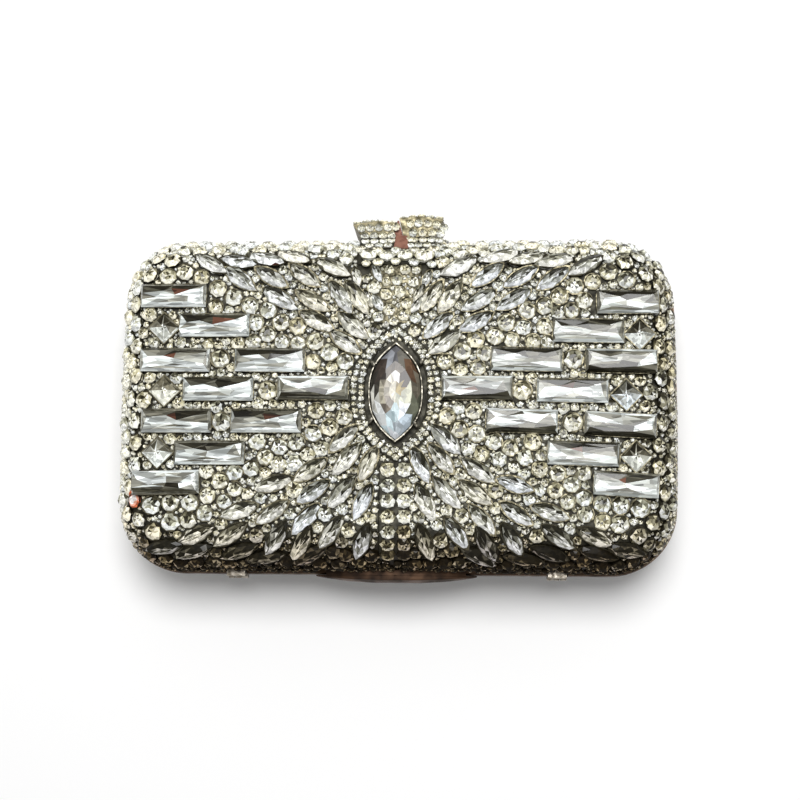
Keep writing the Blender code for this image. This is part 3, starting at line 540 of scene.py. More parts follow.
# Each as seen: (pixel x, pixel y, slant in degrees, share of its length).
BAGUETTE_PIXELS_RIGHT = (
    (628.5, 300.5, 0, 0.87), (589, 329.5, -1, 1), (527, 358, -1, 1), (622, 360, -1, 1), (477, 387, 0, 1),
    (573, 389.5, -1, 1), (522, 420, -1.5, 1), (621, 424, -3, 1), (584, 453, -2, 1), (627, 484, -3.5, 0.90),
)
BAGUETTE_PIXELS_LEFT = (
    (172.5, 294.5, 0, 0.94), (213.5, 324, 0, 1), (269, 359, -0.5, 1), (174, 359, -0.5, 1), (312, 387, 0, 1),
    (217, 388, 0, 1), (265, 420, 0, 1), (175, 420, 0, 1), (208, 452, 0, 1), (164, 482, 1.5, 0.95),
)
# Scales from tone to colour, as (tone, red, green, blue), for the painted reflections in the stones.
GLASS_TONES = (
    (0.00, 0.016, 0.014, 0.008), (0.18, 0.050, 0.047, 0.031), (0.38, 0.170, 0.163, 0.128),
    (0.58, 0.360, 0.360, 0.315), (0.78, 0.610, 0.650, 0.630), (1.00, 0.920, 0.970, 0.965),
)
CREAM_TONES = (
    (0.00, 0.020, 0.017, 0.009), (0.18, 0.060, 0.055, 0.032), (0.38, 0.190, 0.180, 0.120),
    (0.58, 0.420, 0.405, 0.290), (0.78, 0.720, 0.705, 0.540), (1.00, 0.960, 0.960, 0.880),
)
PALE_TONES = (
    (0.00, 0.018, 0.017, 0.010), (0.18, 0.055, 0.053, 0.036), (0.38, 0.180, 0.180, 0.140),
    (0.58, 0.400, 0.405, 0.350), (0.78, 0.700, 0.710, 0.660), (1.00, 0.960, 0.970, 0.950),
)
# Painted reflections on the facets: brighter where a facet faces or lies downhill on its stone.
FACET_TILT = 0.30
FACET_LEAN = 0.6
FACET_PLACE = 0.30
UNDER_SHADE = 0.66
PAINTED_SHADE_SPREAD = 0.5
# Painted light: stones that lie or face left are lighter, and tones fall off towards the right.
PAINTED_LEFT_LIGHT = 0.40
PAINTED_LIGHT_SLOPE = 0.7
# Painted shade on the stones towards the lower edge: where it starts and ends, and how unevenly it falls.
PAINTED_SHADE_FROM = -0.0420
PAINTED_SHADE_TO = -0.0525
PAINTED_SHADE_CHANCE = 0.3
PAINTED_SHADE_RIPPLE = 4000
STONE_CHANCE = 0.20
TINT_CHANCE = 0.22
# Share of each colour kept under the painted shade; the right end takes some painted shade too.
PAINTED_SHADE_KEPT = (0.54, 0.42, 0.34)
RIGHT_PAINTED_SHADE = 0.20
RIGHT_FROM = 0.078
RIGHT_TO = 0.092
WALK_STEPS = 900
WALK_START = 0.001
LOWEST_TURN = 0.06
LEAST_FACING = 0.25
FACE_WEIGHT = 1.5
UNEVEN_AXES = (1, 1, 0.3)
TINT_MIDDLE = 0.4
TINT_RED = 0.4
LEVEL = (0.0, 0.0, 1.0)
UPWARD = (0.0, 1.0, 0.0)
SIDEWAYS = (1.0, 0.0, 0.0)


def inset_at(x, y):
    """Distance inside the shell's edge: the corner radius less the distance past the corner's centre, or
    on the straight sides less the larger overshoot."""
    across = np.abs(x) - crown_at(y) - centre_x
    along = np.abs(y) - centre_y
    past = np.hypot(np.maximum(across, 0), np.maximum(along, 0))
    return shell_corner - np.where((across > 0) & (along > 0), past, np.maximum(across, along))


def height_at(x, y):
    """Height of the dome: a quarter ellipse up from the edge, then flat."""
    slack = np.clip(1 - inset_at(x, y) / EDGE_ROUNDING, 0, 1)
    return dome_base + (DOME_TOP - dome_base) * np.sqrt(1 - slack**2)


def out_at(points):
    """Direction straight out from the outline's rectangle of corner centres, in plan."""
    across = np.maximum(np.abs(points[:, 0]) - centre_x, 0)
    along = np.maximum(np.abs(points[:, 1]) - centre_y, 0)
    out = np.stack((np.sign(points[:, 0]) * across, np.sign(points[:, 1]) * along), -1)
    return unit(out)


def onto_case(points):
    """Points moved to the shell and their normals: in the dome's band a point keeps its direction from
    the ellipse's middle line, angle = atan2(height share, 1 - inset share); elsewhere it takes the
    height of the flat."""
    inset = inset_at(points[:, 0], points[:, 1])
    out = out_at(points)
    rise = DOME_TOP - dome_base
    angle = np.arctan2((points[:, 2] - dome_base) / rise, np.maximum(1 - inset / EDGE_ROUNDING, 1e-6))
    angle = np.where(inset < EDGE_ROUNDING, np.clip(angle, LOWEST_TURN, math.pi / 2), math.pi / 2)
    new_inset = np.where(inset < EDGE_ROUNDING, EDGE_ROUNDING * (1 - np.cos(angle)), inset)
    moved = points.copy()
    moved[:, :2] += out * (inset - new_inset)[:, None]
    moved[:, 2] = dome_base + rise * np.sin(angle)
    plan = out * (np.cos(angle) / EDGE_ROUNDING)[:, None]
    normal = unit(np.concatenate((plan, (np.sin(angle) / rise)[:, None]), -1))
    return moved, normal


def first_meeting(eyes, rays):
    """Rays walked from over the face down to the rim, stopped at the first step under the dome."""
    start = (DOME_TOP + WALK_START - eyes[:, 2]) / rays[:, 2]
    end = (dome_base - eyes[:, 2]) / rays[:, 2]
    steps = start[:, None] + (end - start)[:, None] * np.linspace(0, 1, WALK_STEPS)
    walked = eyes[:, None] + steps[..., None] * rays[:, None]
    under = walked[..., 2] <= height_at(walked[..., 0], walked[..., 1])
    under &= inset_at(walked[..., 0], walked[..., 1]) > 0
    first = np.where(under.any(1), under.argmax(1), under.shape[1] - 1)
    return onto_case(walked[np.arange(len(eyes)), first])


def sight_lines(pixels):
    """Where the camera stands, and the directions it looks in at these pixels of an 800 x 800 picture."""
    pixels = np.asarray(pixels, float)
    across = (pixels[:, 0] / PICTURE_SIZE - 0.5) * CAMERA_SPAN
    down = (pixels[:, 1] / PICTURE_SIZE - 0.5) * CAMERA_SPAN
    rays = unit(-CAMERA_DISTANCE * toward + across[:, None] * camera_right - down[:, None] * camera_up)
    return np.broadcast_to(camera_eye - (0, 0, mid_plane), rays.shape), rays


def on_plane(pixels, place, normal):
    """Places that the camera sees at these pixels on the plane through the place with the normal."""
    eyes, rays = sight_lines(pixels)
    steps = ((place - eyes) @ normal) / (rays @ normal)
    return eyes + steps[:, None] * rays


def on_case(pixels, rise):
    """Places on the front half that the camera sees at these pixels, for the top of something that stands
    up by rise: the ray meets the shell, then again with the eye lowered by the rise."""
    eyes, rays = sight_lines(pixels)
    _, normal = first_meeting(eyes, rays)
    return first_meeting(eyes - rise * normal, rays)


def seen_along(degrees, normal):
    """The direction in the surface that the camera sees at this slant: the picture's direction, moved
    along the line of sight until it lies in the surface."""
    slant = np.radians(np.asarray(degrees, float))[:, None]
    picture = np.cos(slant) * camera_right + np.sin(slant) * camera_up
    facing = np.maximum(normal @ toward, LEAST_FACING)[:, None]
    along = picture - (picture * normal).sum(-1, keepdims=True) / facing * toward
    return unit(along - (along * normal).sum(-1, keepdims=True) * normal)


def alike(row, count):
    """The same row of numbers for each of many stones."""
    return np.tile(row, (count, 1))


def on_flat(pixels, degrees, rise):
    """Middles, directions and normals of stones of this rise on the flat face, by pixel and slant."""
    middle, _ = on_case(pixels, rise)
    middle[:, 2] = DOME_TOP
    normal = alike(LEVEL, len(middle))
    return middle, seen_along(degrees, normal), normal


def mirrored(vectors):
    """The same places or directions on the other hand."""
    return vectors * (-1, 1, 1)


def uphill(normal):
    """The way up a stone, for its play of light: +Y on the face, over the edges +Y turned about X."""
    over = np.cross(normal, SIDEWAYS)
    side = np.array(UPWARD) - normal * normal[:, 1:2]
    weight = np.clip(np.abs(normal[:, :1]) * FACE_WEIGHT, 0, 1)
    return unit(side * weight + over * (1 - weight))


def tone_colours(tones, scale):
    """Colours read off a scale of (tone, red, green, blue) by straight lines between its steps."""
    steps = np.array(scale)
    return np.stack([np.interp(tones, steps[:, 0], steps[:, channel]) for channel in (1, 2, 3)], -1)


def stood(shape, middle, along, normal, size):
    """Unit points carried to each stone: x along, y across, z up its normal, times its size."""
    across = np.cross(normal, along)
    axes = np.stack((along * size[:, :1], across * size[:, 1:2], normal * size[:, 2:]), 1)
    shape = np.broadcast_to(shape, (len(middle), *shape.shape[-2:]))
    return np.einsum("npi,nij->npj", shape, axes) + middle[:, None]


def painted_shade_at(middle, normal):
    """How much painted shade a stone takes towards the lower edge: as it faces -Y, or by its place between
    two lines, with a sine of X that lets stones side by side differ. The right end has a share of it too."""
    low = (PAINTED_SHADE_FROM - middle[:, 1]) / (PAINTED_SHADE_FROM - PAINTED_SHADE_TO)
    low += PAINTED_SHADE_CHANCE * np.sin(PAINTED_SHADE_RIPPLE * middle[:, 0]) * (low > 0)
    right = np.clip((middle[:, 0] - RIGHT_FROM) / (RIGHT_TO - RIGHT_FROM), 0, 1)
    low = np.maximum(low, RIGHT_PAINTED_SHADE * right)
    return np.clip(np.maximum(-normal[:, 1], low), 0, 1)[:, None]


def facet_play(points, triangles, middle, normal, reach, base, spread, random):
    """Tone of each facet, as painted reflection: its base, more where it faces or lies downhill on its
    stone, less uphill, less as painted shade on stones towards the lower edge, more as painted light on
    those that lie or face left, and a share of chance for each stone and each facet."""
    corner = points[:, triangles]
    facing = unit(np.cross(corner[:, :, 1] - corner[:, :, 0], corner[:, :, 2] - corner[:, :, 0]))
    up = uphill(normal)[:, None]
    tilt = -(facing * up).sum(-1) / FACET_LEAN
    place = -((corner.mean(2) - middle[:, None]) * up).sum(-1) / reach
    own = STONE_CHANCE * (random.random((len(middle), 1)) - 0.5) - UNDER_SHADE * painted_shade_at(middle, normal)
    own = own + PAINTED_LEFT_LIGHT * np.maximum(-normal[:, :1], 0) - PAINTED_LIGHT_SLOPE * middle[:, :1]
    spread = spread * (1 + PAINTED_SHADE_SPREAD * painted_shade_at(middle, normal))
    chance = spread * (random.random(tilt.shape) - 0.5)
    return base + FACET_TILT * tilt + FACET_PLACE * place + own + chance


def uneven(shape, count, share, random):
    """The cut for each stone, its points off by a share of its size, as hand-set stones look."""
    return shape + share * random.uniform(-1, 1, (count, *shape.shape)) * UNEVEN_AXES


def own_tables(base, sectors, count, swing, random):
    """The cut's tones for each stone, by chance its table lighter or darker, and its star stronger."""
    tones = np.tile(base, (count, 1))
    table = slice(-2 * sectors, -sectors)
    tones[:, table] += swing * (random.random((count, 1)) - 0.5)
    tones[:, table] += swing * (random.random((count, 1)) - 0.5) * np.where(np.arange(sectors) % 2, 1, -1)
    return tones


def spun(along, normal, turn):
    """Directions turned about the normals by an angle each."""
    return along * np.cos(turn) + np.cross(normal, along) * np.sin(turn)


def painted(tones, scale, middle, normal, random):
    """Facet colours read off the scale, each stone by chance a little warmer or bluer, and darker and
    browner as painted shade towards the lower edge."""
    warmth = TINT_CHANCE * (random.random((len(tones), 1)) - TINT_MIDDLE)
    tint = np.stack((1 + TINT_RED * warmth, np.ones_like(warmth), 1 - warmth), -1)
    brown = 1 - painted_shade_at(middle, normal)[..., None] * (1 - np.array(PAINTED_SHADE_KEPT))
    return tone_colours(tones, scale) * tint * brown


# Painted glints and one dark red-brown spot on the front face, as seen: (pixel x, pixel y, reach, colour).
# The first three make one red-orange glint with a white centre; the last is a small orange glint.
ACCENT_DEPTH = 0.002
ACCENT_RISE = 0.0015
ACCENTS = (
    (131, 500, 0.0034, (0.62, 0.16, 0.07)), (131, 500, 0.0019, (1.0, 0.50, 0.36)),
    (131, 500, 0.0014, (1.0, 0.95, 0.92)),
    (275, 261, 0.0016, (0.09, 0.022, 0.014)), (606, 479, 0.0009, (0.75, 0.20, 0.05)),
)
accent_places, accent_normals = on_case([entry[:2] for entry in ACCENTS], ACCENT_DEPTH)
accent_places = accent_places + ACCENT_RISE * accent_normals


def add_stones(name, half, points, triangles, colours, finish, slot, *nodes, body=None):
    """Many stones of one cut as one piece: flat facets, each with its colour at its three corners. The
    piece rides its half, unless a body is named."""
    count, each, _ = points.shape
    if half == "front":
        facets = points[:, triangles].mean(2)
        colours = np.broadcast_to(colours, facets.shape).copy()
        # The painted glints and the dark spot take the colour of facets within their reach, on the front
        # half.
        for place, (_, _, reach, colour) in zip(accent_places, ACCENTS):
            colours[np.linalg.norm(facets - place, axis=-1) < reach] = colour
    faces = (triangles[None] + each * np.arange(count)[:, None, None]).reshape(-1, 3)
    if half == "back":
        faces = faces[:, ::-1]
    mesh = bpy.data.meshes.new(name)
    mesh.vertices.add(count * each)
    mesh.vertices.foreach_set("co", in_half(points.reshape(-1, 3), half).ravel())
    mesh.loops.add(faces.size)
    mesh.loops.foreach_set("vertex_index", faces.ravel().astype(np.int32))
    mesh.polygons.add(len(faces))
    mesh.polygons.foreach_set("loop_start", np.arange(0, faces.size, 3, dtype=np.int32))
    mesh.update(calc_edges=True)
    corners = np.repeat(colours.reshape(-1, 3), 3, axis=0)
    corners = np.concatenate((corners, np.ones((len(corners), 1))), -1)
    layer = mesh.color_attributes.new("facet", "FLOAT_COLOR", "CORNER")
    layer.data.foreach_set("color", corners.ravel().astype(np.float32))
    mesh.shade_flat()
    seat(linked(name, mesh, finish), body or f"{half}_half", slot, *nodes)


DULL_FROM = -0.0450
DULL_TO = -0.0535
DULL_ROUGH = 0.75
GLASS_SPECULAR = 0.08
COAT_ROUGHNESS = 0.03
PLAY_DROP = -0.45
PLAY_LEVEL = 0.92


def glass_group():
    """Painted play of light inside the glass: small cells that brighten or darken the facet's colour as
    painted glints. Towards the lower edge, where the stones see only the dark side of the room, they lose
    their polish."""
    group, given, result = new_group(
        "glass_play",
        dict.fromkeys(("Cell Size", "Depth", "Stretch", "Gloss", "Coat"), "Float"),
        {"Colour": "Color", "Roughness": "Float", "Coat": "Float"},
    )
    place = new_node(group, "TexCoord")
    facet = new_node(group, "Attribute", attribute_name="facet")
    stretch = new_node(group, "CombineXYZ", {"Y": 1, "Z": 1})
    spread = new_node(group, "VectorMath", operation="MULTIPLY")
    cells = new_node(group, "TexVoronoi")
    split = new_node(group, "SeparateColor")
    level = new_node(group, "Math", {1: PLAY_DROP, 2: PLAY_LEVEL}, operation="MULTIPLY_ADD")
    gain = new_node(group, "Math", operation="MULTIPLY_ADD")
    scaled = new_node(group, "Mix", {"Factor": 1.0}, data_type="RGBA", blend_type="MULTIPLY")
    axes = new_node(group, "SeparateXYZ")
    rough = new_node(group, "MapRange", {"From Min": DULL_FROM, "From Max": DULL_TO, "To Max": DULL_ROUGH})
    coat = new_node(group, "MapRange", {"From Min": DULL_FROM, "From Max": DULL_TO, "To Max": 0.0})
    wire(
        group,
        (given, "Stretch", stretch, "X"),
        (place, "Object", spread, 0),
        (stretch, "Vector", spread, 1),
        (spread, "Vector", cells, "Vector"),
        (given, "Cell Size", cells, "Scale"),
        (cells, "Color", split, "Color"),
        (given, "Depth", level, 0),
        (split, "Red", gain, 0),
        (given, "Depth", gain, 1),
        (level, "Value", gain, 2),
        (facet, "Color", scaled, "A"),
        (gain, "Value", scaled, "B"),
        (place, "Object", axes, "Vector"),
        (axes, "Y", rough, "Value"),
        (axes, "Y", coat, "Value"),
        (given, "Gloss", rough, "To Min"),
        (given, "Coat", coat, "To Min"),
        (scaled, "Result", result, "Colour"),
        (rough, "Result", result, "Roughness"),
        (coat, "Result", result, "Coat"),
    )
    return group


play = glass_group()


def glass_finish(name, cells, depth, roughness, coat, stretch=1.0):
    """Cut glass over foil: the facet's painted colour with its painted glints, under a clear polished face.
    """
    finish, tree, shader = new_finish(name, roughness)
    values = {"Cell Size": cells, "Depth": depth, "Stretch": stretch, "Gloss": roughness, "Coat": coat}
    group = new_node(tree, "Group", values, node_tree=play)
    shader.inputs["Specular IOR Level"].default_value = GLASS_SPECULAR
    shader.inputs["Coat Roughness"].default_value = COAT_ROUGHNESS
    wire(
        tree,
        (group, "Colour", shader, "Base Color"),
        (group, "Roughness", shader, "Roughness"),
        (group, "Coat", shader, "Coat Weight"),
    )
    return finish


crystal = glass_finish("cut_crystal_glass", 1000, 0.85, 0.2, 0.25)
clear_glass = glass_finish("clear_crystal_glass", 700, 0.45, 0.15, 0.3)
long_glass = glass_finish("long_crystal_glass", 1100, 1.1, 0.15, 0.3, stretch=0.22)

# Facets of a baguette's table as shares of its half sizes: corners, then three corners and a tone for
# each, the tone a painted reflection.
TABLE_CORNERS = (
    (-0.93, 0.78), (0.0, 0.78), (0.93, 0.78), (0.93, -0.78), (-0.93, -0.78), (-0.82, 0.20), (-0.34, 0.34),
    (0.0, 0.02), (0.0, 0.56), (0.60, 0.44), (0.82, 0.58), (0.90, -0.28), (0.46, -0.16), (0.0, -0.32),
    (-0.44, -0.16), (-0.91, -0.42), (-0.46, -0.60), (0.42, -0.58),
)
TABLE_FACETS = (
    (0, 5, 6, 0.16), (0, 6, 1, 0.08), (1, 6, 8, 0.14), (8, 6, 7, 0.20), (8, 7, 9, -1.0), (1, 8, 9, 0.10),
    (1, 9, 2, 0.13), (2, 9, 10, 0.34), (7, 10, 9, 0.99), (7, 12, 10, 0.86), (12, 11, 10, 0.95),
    (2, 10, 11, 0.70), (2, 11, 3, 0.46), (5, 7, 6, 0.62), (5, 14, 7, 0.72), (5, 15, 14, 0.55),
    (15, 13, 14, 0.98), (14, 13, 7, 0.84), (7, 13, 12, 0.66), (13, 17, 12, 0.52), (12, 17, 11, 0.78),
    (17, 3, 11, 0.92), (15, 16, 13, 0.50), (15, 4, 16, 0.80), (4, 3, 16, 0.95), (16, 3, 17, 0.60),
    (16, 17, 13, 0.36), (0, 4, 15, 0.42), (0, 15, 5, 0.58),
)
TABLE_EDGE = (0.93, 0.78)
BORDER_HEIGHT = 0.93
GIRDLE_HEIGHT = 0.55
FOOT_SHARE = 0.94
BEVEL_TONES = (0.62, 0.97, 0.55, 0.25, 0.25)
WALL_TONE = 0.2
TABLE_JITTER = np.array((0.09, 0.09, 0.02))
TONE_JITTER = 0.42
SEEN_OVER = 0.35
# Colour of the painted red glint on the darkest facet of some tables.
PAINTED_RED_GLINT = (0.120, 0.050, 0.030)
WEDGE_TONE = -0.5
WEDGE_SHARE = 0.5


def baguette_cut():
    """Unit baguette: the facets of its table, and the table's border repeated wider for the bevel, girdle
    and foot, closed by a fan. Returns points, triangles, tones and the points free to move."""
    table = np.array(TABLE_CORNERS)
    border = np.array((0, 4, 3, 2, 1))
    height = np.where(np.isin(np.arange(len(table)), border), BORDER_HEIGHT, 1.0)
    wide = table[border] / TABLE_EDGE
    girdle = np.column_stack((wide, np.full(len(border), GIRDLE_HEIGHT)))
    foot = np.column_stack((wide * FOOT_SHARE, np.zeros(len(border))))
    points = np.concatenate((np.column_stack((table, height)), girdle, foot, ((0, 0, 0),)))
    around = np.arange(len(border))
    beside = np.roll(around, -1)
    first = len(table)
    second = first + len(border)
    facets = np.array(TABLE_FACETS)
    pieces = (
        facets[:, :3].astype(int),
        np.stack((border, first + around, first + beside), -1),
        np.stack((border, first + beside, border[beside]), -1),
        np.stack((first + around, second + around, second + beside), -1),
        np.stack((first + around, second + beside, first + beside), -1),
        np.stack((second + beside, second + around, np.full(len(border), second + len(border))), -1),
    )
    walls = np.full(3 * len(border), WALL_TONE)
    tones = np.concatenate((facets[:, 3], BEVEL_TONES, BEVEL_TONES, walls))
    free = np.ones(len(points), bool)
    free[border] = False
    free[first:] = False
    return points, np.concatenate(pieces), tones, free


def seen_from(points, triangles, tones, hand, over):
    """Tones of the table as another side of the room would give them: each facet takes the tone of the
    one that lies nearest to its own mirrored place."""
    centres = points[triangles].mean(1)
    apart = np.linalg.norm(centres[:, None] * (hand, over, 1) - centres[None], axis=-1)
    return tones[apart.argmin(1)]


baguette_points, baguette_faces, baguette_tones, baguette_free = baguette_cut()
table_tones = np.stack([
    seen_from(baguette_points, baguette_faces, baguette_tones, hand, over)
    for over in (1, -1)
    for hand in (1, -1)
])
baguette_table = np.array(BAGUETTE_PIXELS_RIGHT + BAGUETTE_PIXELS_LEFT)
baguette_places = on_flat(baguette_table[:, :2], baguette_table[:, 2], BAGUETTE_RISE)
baguette_count = len(baguette_table)
baguette_size = alike((*BAGUETTE_HALF, BAGUETTE_RISE), baguette_count)
baguette_size[:, 0] *= baguette_table[:, 3]
for half, seed in (("front", 11), ("back", 12)):
    random = np.random.default_rng(seed)
    shape = np.tile(baguette_points, (baguette_count, 1, 1))
    shape += random.uniform(-1, 1, shape.shape) * TABLE_JITTER * baguette_free[:, None]
    points = stood(shape, *baguette_places, baguette_size)
    side = random.integers(0, 2, baguette_count) + 2 * (random.random(baguette_count) < SEEN_OVER)
    base = table_tones[side]
    chance = random.random(base.shape) - 0.5
    tones = base + TONE_JITTER * chance + STONE_CHANCE * (random.random((baguette_count, 1)) - 0.5)
    # Painted light: the tones fall off towards the right, as on the other stones.
    colours = tone_colours(tones - PAINTED_LIGHT_SLOPE * baguette_places[0][:, :1], GLASS_TONES)
    # Painted red glints: on some stones the darkest facet of the table takes a red colour.
    red_glint = (base < WEDGE_TONE) & (random.random((baguette_count, 1)) < WEDGE_SHARE)
    colours = np.where(red_glint[..., None], np.array(PAINTED_RED_GLINT) * (1 + chance[..., None]), colours)
    nodes = [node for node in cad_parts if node.startswith(f"{half}_baguette_")]
    nodes += [f"{half}_left_stones", f"{half}_right_stones"]
    add_stones(f"{half}_baguettes", half, points, baguette_faces, colours, long_glass, "crystal", *nodes)

# Squares. Pyramid-cut square stones set on their points at the outer ends of every other row, painted with
# reflections: dark upper facets, and bright lower ones that meet in a crease.
SQUARE_HALF = 0.0054
SQUARE_RISE = 0.0036
SQUARE_CHANCES = (0, 0, 0.4)
NAVETTE_TAPER = 0.55
SQUARE_PIXELS = ((642, 333), (627, 394), (637, 456), (163, 327), (163, 390), (156, 452))


def square_outline(turn):
    """A square on its point, from the angle: the radius is one over the sum of cosine and sine."""
    radius = 1 / (np.abs(np.cos(turn)) + np.abs(np.sin(turn)))
    return radius * np.cos(turn), radius * np.sin(turn)


def round_outline(turn):
    """A circle from the angle."""
    return np.cos(turn), np.sin(turn)


def navette_outline(turn):
    """A pointed oval from the angle: cosine along, and sine times its own size across."""
    return np.cos(turn), np.sin(turn) * np.abs(np.sin(turn)) ** NAVETTE_TAPER


def ring_cut(outline, sectors, levels, peak):
    """Unit stone from rings of the outline, given as (scale, height, phase, two tones), the scale one
    number or one along and one across: triangles join successive rings, a fan closes the foot, and
    another rises to the peak (height, tone, star). The two tones of a level are for the facets that stand
    on the ring below and for those that hang from its own. Returns points, triangles, tones, sectors."""
    angle = math.tau * np.arange(sectors) / sectors
    around = np.arange(sectors)
    beside = np.roll(around, -1)
    rings = []
    triangles = []
    tones = []
    for number, (scale, height, phase, standing, hanging) in enumerate(levels):
        x, y = outline(angle + phase * math.tau / sectors)
        along, across = np.broadcast_to(scale, 2)
        rings.append(np.stack((along * x, across * y, np.full(sectors, height)), -1))
        if number == 0:
            continue
        low = (number - 1) * sectors
        high = number * sectors
        turned = levels[number - 1][2] < phase
        tip, foot = (around, beside) if turned else (beside, around)
        triangles.append(np.stack((low + around, low + beside, high + tip), -1))
        triangles.append(np.stack((low + foot, high + beside, high + around), -1))
        tones += [np.full(sectors, standing), np.full(sectors, hanging)]
    last = (len(levels) - 1) * sectors
    ends = len(levels) * sectors
    triangles.append(np.stack((last + around, last + beside, np.full(sectors, ends)), -1))
    triangles.append(np.stack((beside, around, np.full(sectors, ends + 1)), -1))
    tones += [peak[1] + peak[2] * np.where(around % 2 == 0, 1, -1), np.zeros(sectors)]
    points = np.concatenate((*rings, ((0, 0, peak[0]), (0, 0, levels[0][1]))))
    return points, np.concatenate(triangles), np.concatenate(tones), sectors


def set_stones(
    name, half, cut, places, size, reach, chances, random, finish, slot, *nodes, scale=CREAM_TONES,
    body=None,
):
    """Stones of one cut at their middles, directions and normals. The chances say how uneven their points
    are, how far their tables swing and how far each facet's tone strays; for nought none is drawn."""
    shape, faces, tones, sides = cut
    middle, along, normal = places
    unevenness, swing, spread = chances
    if unevenness:
        shape = uneven(shape, len(middle), unevenness, random)
    points = stood(shape, middle, along, normal, size)
    if swing:
        tones = own_tables(tones, sides, len(middle), swing, random)
    tones = facet_play(points, faces, middle, normal, reach, tones, spread, random)
    colours = painted(tones, scale, middle, normal, random)
    add_stones(name, half, points, faces, colours, finish, slot, *nodes, body=body)


square_cut = ring_cut(
    square_outline,
    8,
    ((0.9, 0, 0, 0, 0), (1, 0.45, 0, 0.2, 0.2), (0.80, 0.66, 0, 0.6, 0.6), (0.22, 0.97, 0, 0.50, 0.78)),
    (1.0, 0.6, 0.3),
)
square_places = on_flat(SQUARE_PIXELS, np.zeros(len(SQUARE_PIXELS)), SQUARE_RISE)
square_size = alike((SQUARE_HALF, SQUARE_HALF, SQUARE_RISE), len(SQUARE_PIXELS))
for half, seed in (("front", 21), ("back", 22)):
    random = np.random.default_rng(seed)
    nodes = [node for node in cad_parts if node.startswith(f"{half}_square_")]
    set_stones(
        f"{half}_squares", half, square_cut, square_places, square_size, SQUARE_HALF, SQUARE_CHANCES,
        random, crystal, "crystal", *nodes, scale=GLASS_TONES,
    )

# Jewel, bezel and halo. A navette stone of 33 x 17 mm in a thin silver bezel with four claws; round it a
# pointed ring of white metal set with two rows of small stones, its plate coloured in the shell's dark
# olive as painted shade.
NAVETTE_POWER = 2.6
NAVETTE_STEPS = 96
JEWEL_SIZE = (0.0312, 0.0166)
JEWEL_RISE = 0.0039
BEZEL_INNER = (0.0316, 0.0170)
BEZEL_WALL = 0.0005
BEZEL_RISE = 0.0031
CLAW_PIXELS = ((421.6, 361, 60), (370.6, 420, 60), (415.5, 424, -60), (373, 363, -60))
CLAW_HALF = (0.0014, 0.0007, 0.0010)
HALO_SIZE = (0.0458, 0.0304)
HALO_INNER = (0.0380, 0.0208)
HALO_RISE = 0.0012
HALO_BEVELS = (-0.0004, 0.0003)
HALO_HEIGHT_SHARES = np.array((0, 0.7, 1, 1, 0.8, 0))
HALO_STONE = 0.00115
HALO_STRAY = 0.00022
HALO_SHADE = 0.03
HALO_WALLS = (0.0008, 0.004, 0.008)
HALO_PITCH = 0.0021
JEWEL_PIXEL = (395.3, 391.5)
JEWEL_CHANCE = (0.52, 1.0)
SILVER = (0.25, 0.235, 0.195)
SILVER_DARK = (0.07, 0.064, 0.048)
DULL = (0.20, 0.18, 0.12)
DULL_DARK = (0.05, 0.045, 0.028)


def navette_line(size, share):
    """A full-bodied navette, long along Y: half width times 1 - |way along| ^ NAVETTE_POWER, the way
    along running as a sine of the angle so that the points crowd towards the ends."""
    length, width = size
    hand = np.where(share % 1 < 0.5, 1, -1)
    way = np.sin(math.pi / 2 * (4 * (share % 0.5) - 1))
    x = width / 2 * (1 - np.abs(way) ** NAVETTE_POWER)
    return np.stack((hand * x, hand * length / 2 * way), -1)


def navette_body(sizes, heights):
    """Rings of the navette line at the sizes and heights given."""
    share = np.arange(NAVETTE_STEPS) / NAVETTE_STEPS
    lines = [navette_line(size, share) for size in sizes]
    return np.stack([np.insert(line, 2, height, axis=1) for line, height in zip(lines, heights)])


jewel_middle, _ = on_case((JEWEL_PIXEL,), JEWEL_RISE)
ornament = np.array((jewel_middle[0, 0], jewel_middle[0, 1], DOME_TOP))

# Painted reflections on the facets of the jewel, as seen: places as shares of its half sizes, with the
# colour of the facet there.
JEWEL_REFLECTIONS = (
    ((0.00, 0.86), (0.16, 0.16, 0.17)), ((-0.30, 0.70), (0.42, 0.44, 0.48)),
    ((0.25, 0.68), (0.22, 0.21, 0.18)), ((-0.62, 0.42), (0.07, 0.055, 0.045)),
    ((-0.20, 0.52), (0.12, 0.10, 0.08)), ((0.15, 0.48), (0.16, 0.13, 0.10)),
    ((0.55, 0.45), (0.17, 0.10, 0.06)), ((-0.85, 0.15), (0.06, 0.055, 0.045)),
    ((-0.40, 0.12), (0.40, 0.36, 0.28)), ((-0.55, -0.05), (0.44, 0.41, 0.32)),
    ((-0.25, -0.28), (0.24, 0.205, 0.165)), ((0.05, 0.34), (0.95, 0.93, 0.92)),
    ((-0.08, 0.10), (0.72, 0.68, 0.56)), ((0.35, 0.30), (0.035, 0.02, 0.012)),
    ((0.15, 0.10), (0.36, 0.27, 0.09)), ((0.50, 0.02), (0.80, 0.80, 0.60)),
    ((0.25, -0.12), (0.52, 0.53, 0.42)), ((0.85, 0.10), (0.18, 0.16, 0.12)),
    ((-0.88, -0.15), (0.85, 0.84, 0.76)), ((0.30, -0.38), (0.88, 0.93, 1.00)),
    ((0.00, -0.45), (0.55, 0.70, 0.74)), ((0.72, -0.38), (0.20, 0.21, 0.15)),
    ((-0.62, -0.48), (0.90, 0.93, 0.92)), ((-0.30, -0.62), (0.66, 0.80, 0.84)),
    ((0.05, -0.72), (0.50, 0.56, 0.60)), ((0.35, -0.62), (0.62, 0.72, 0.80)),
    ((0.00, -0.90), (0.86, 0.90, 0.94)),
)


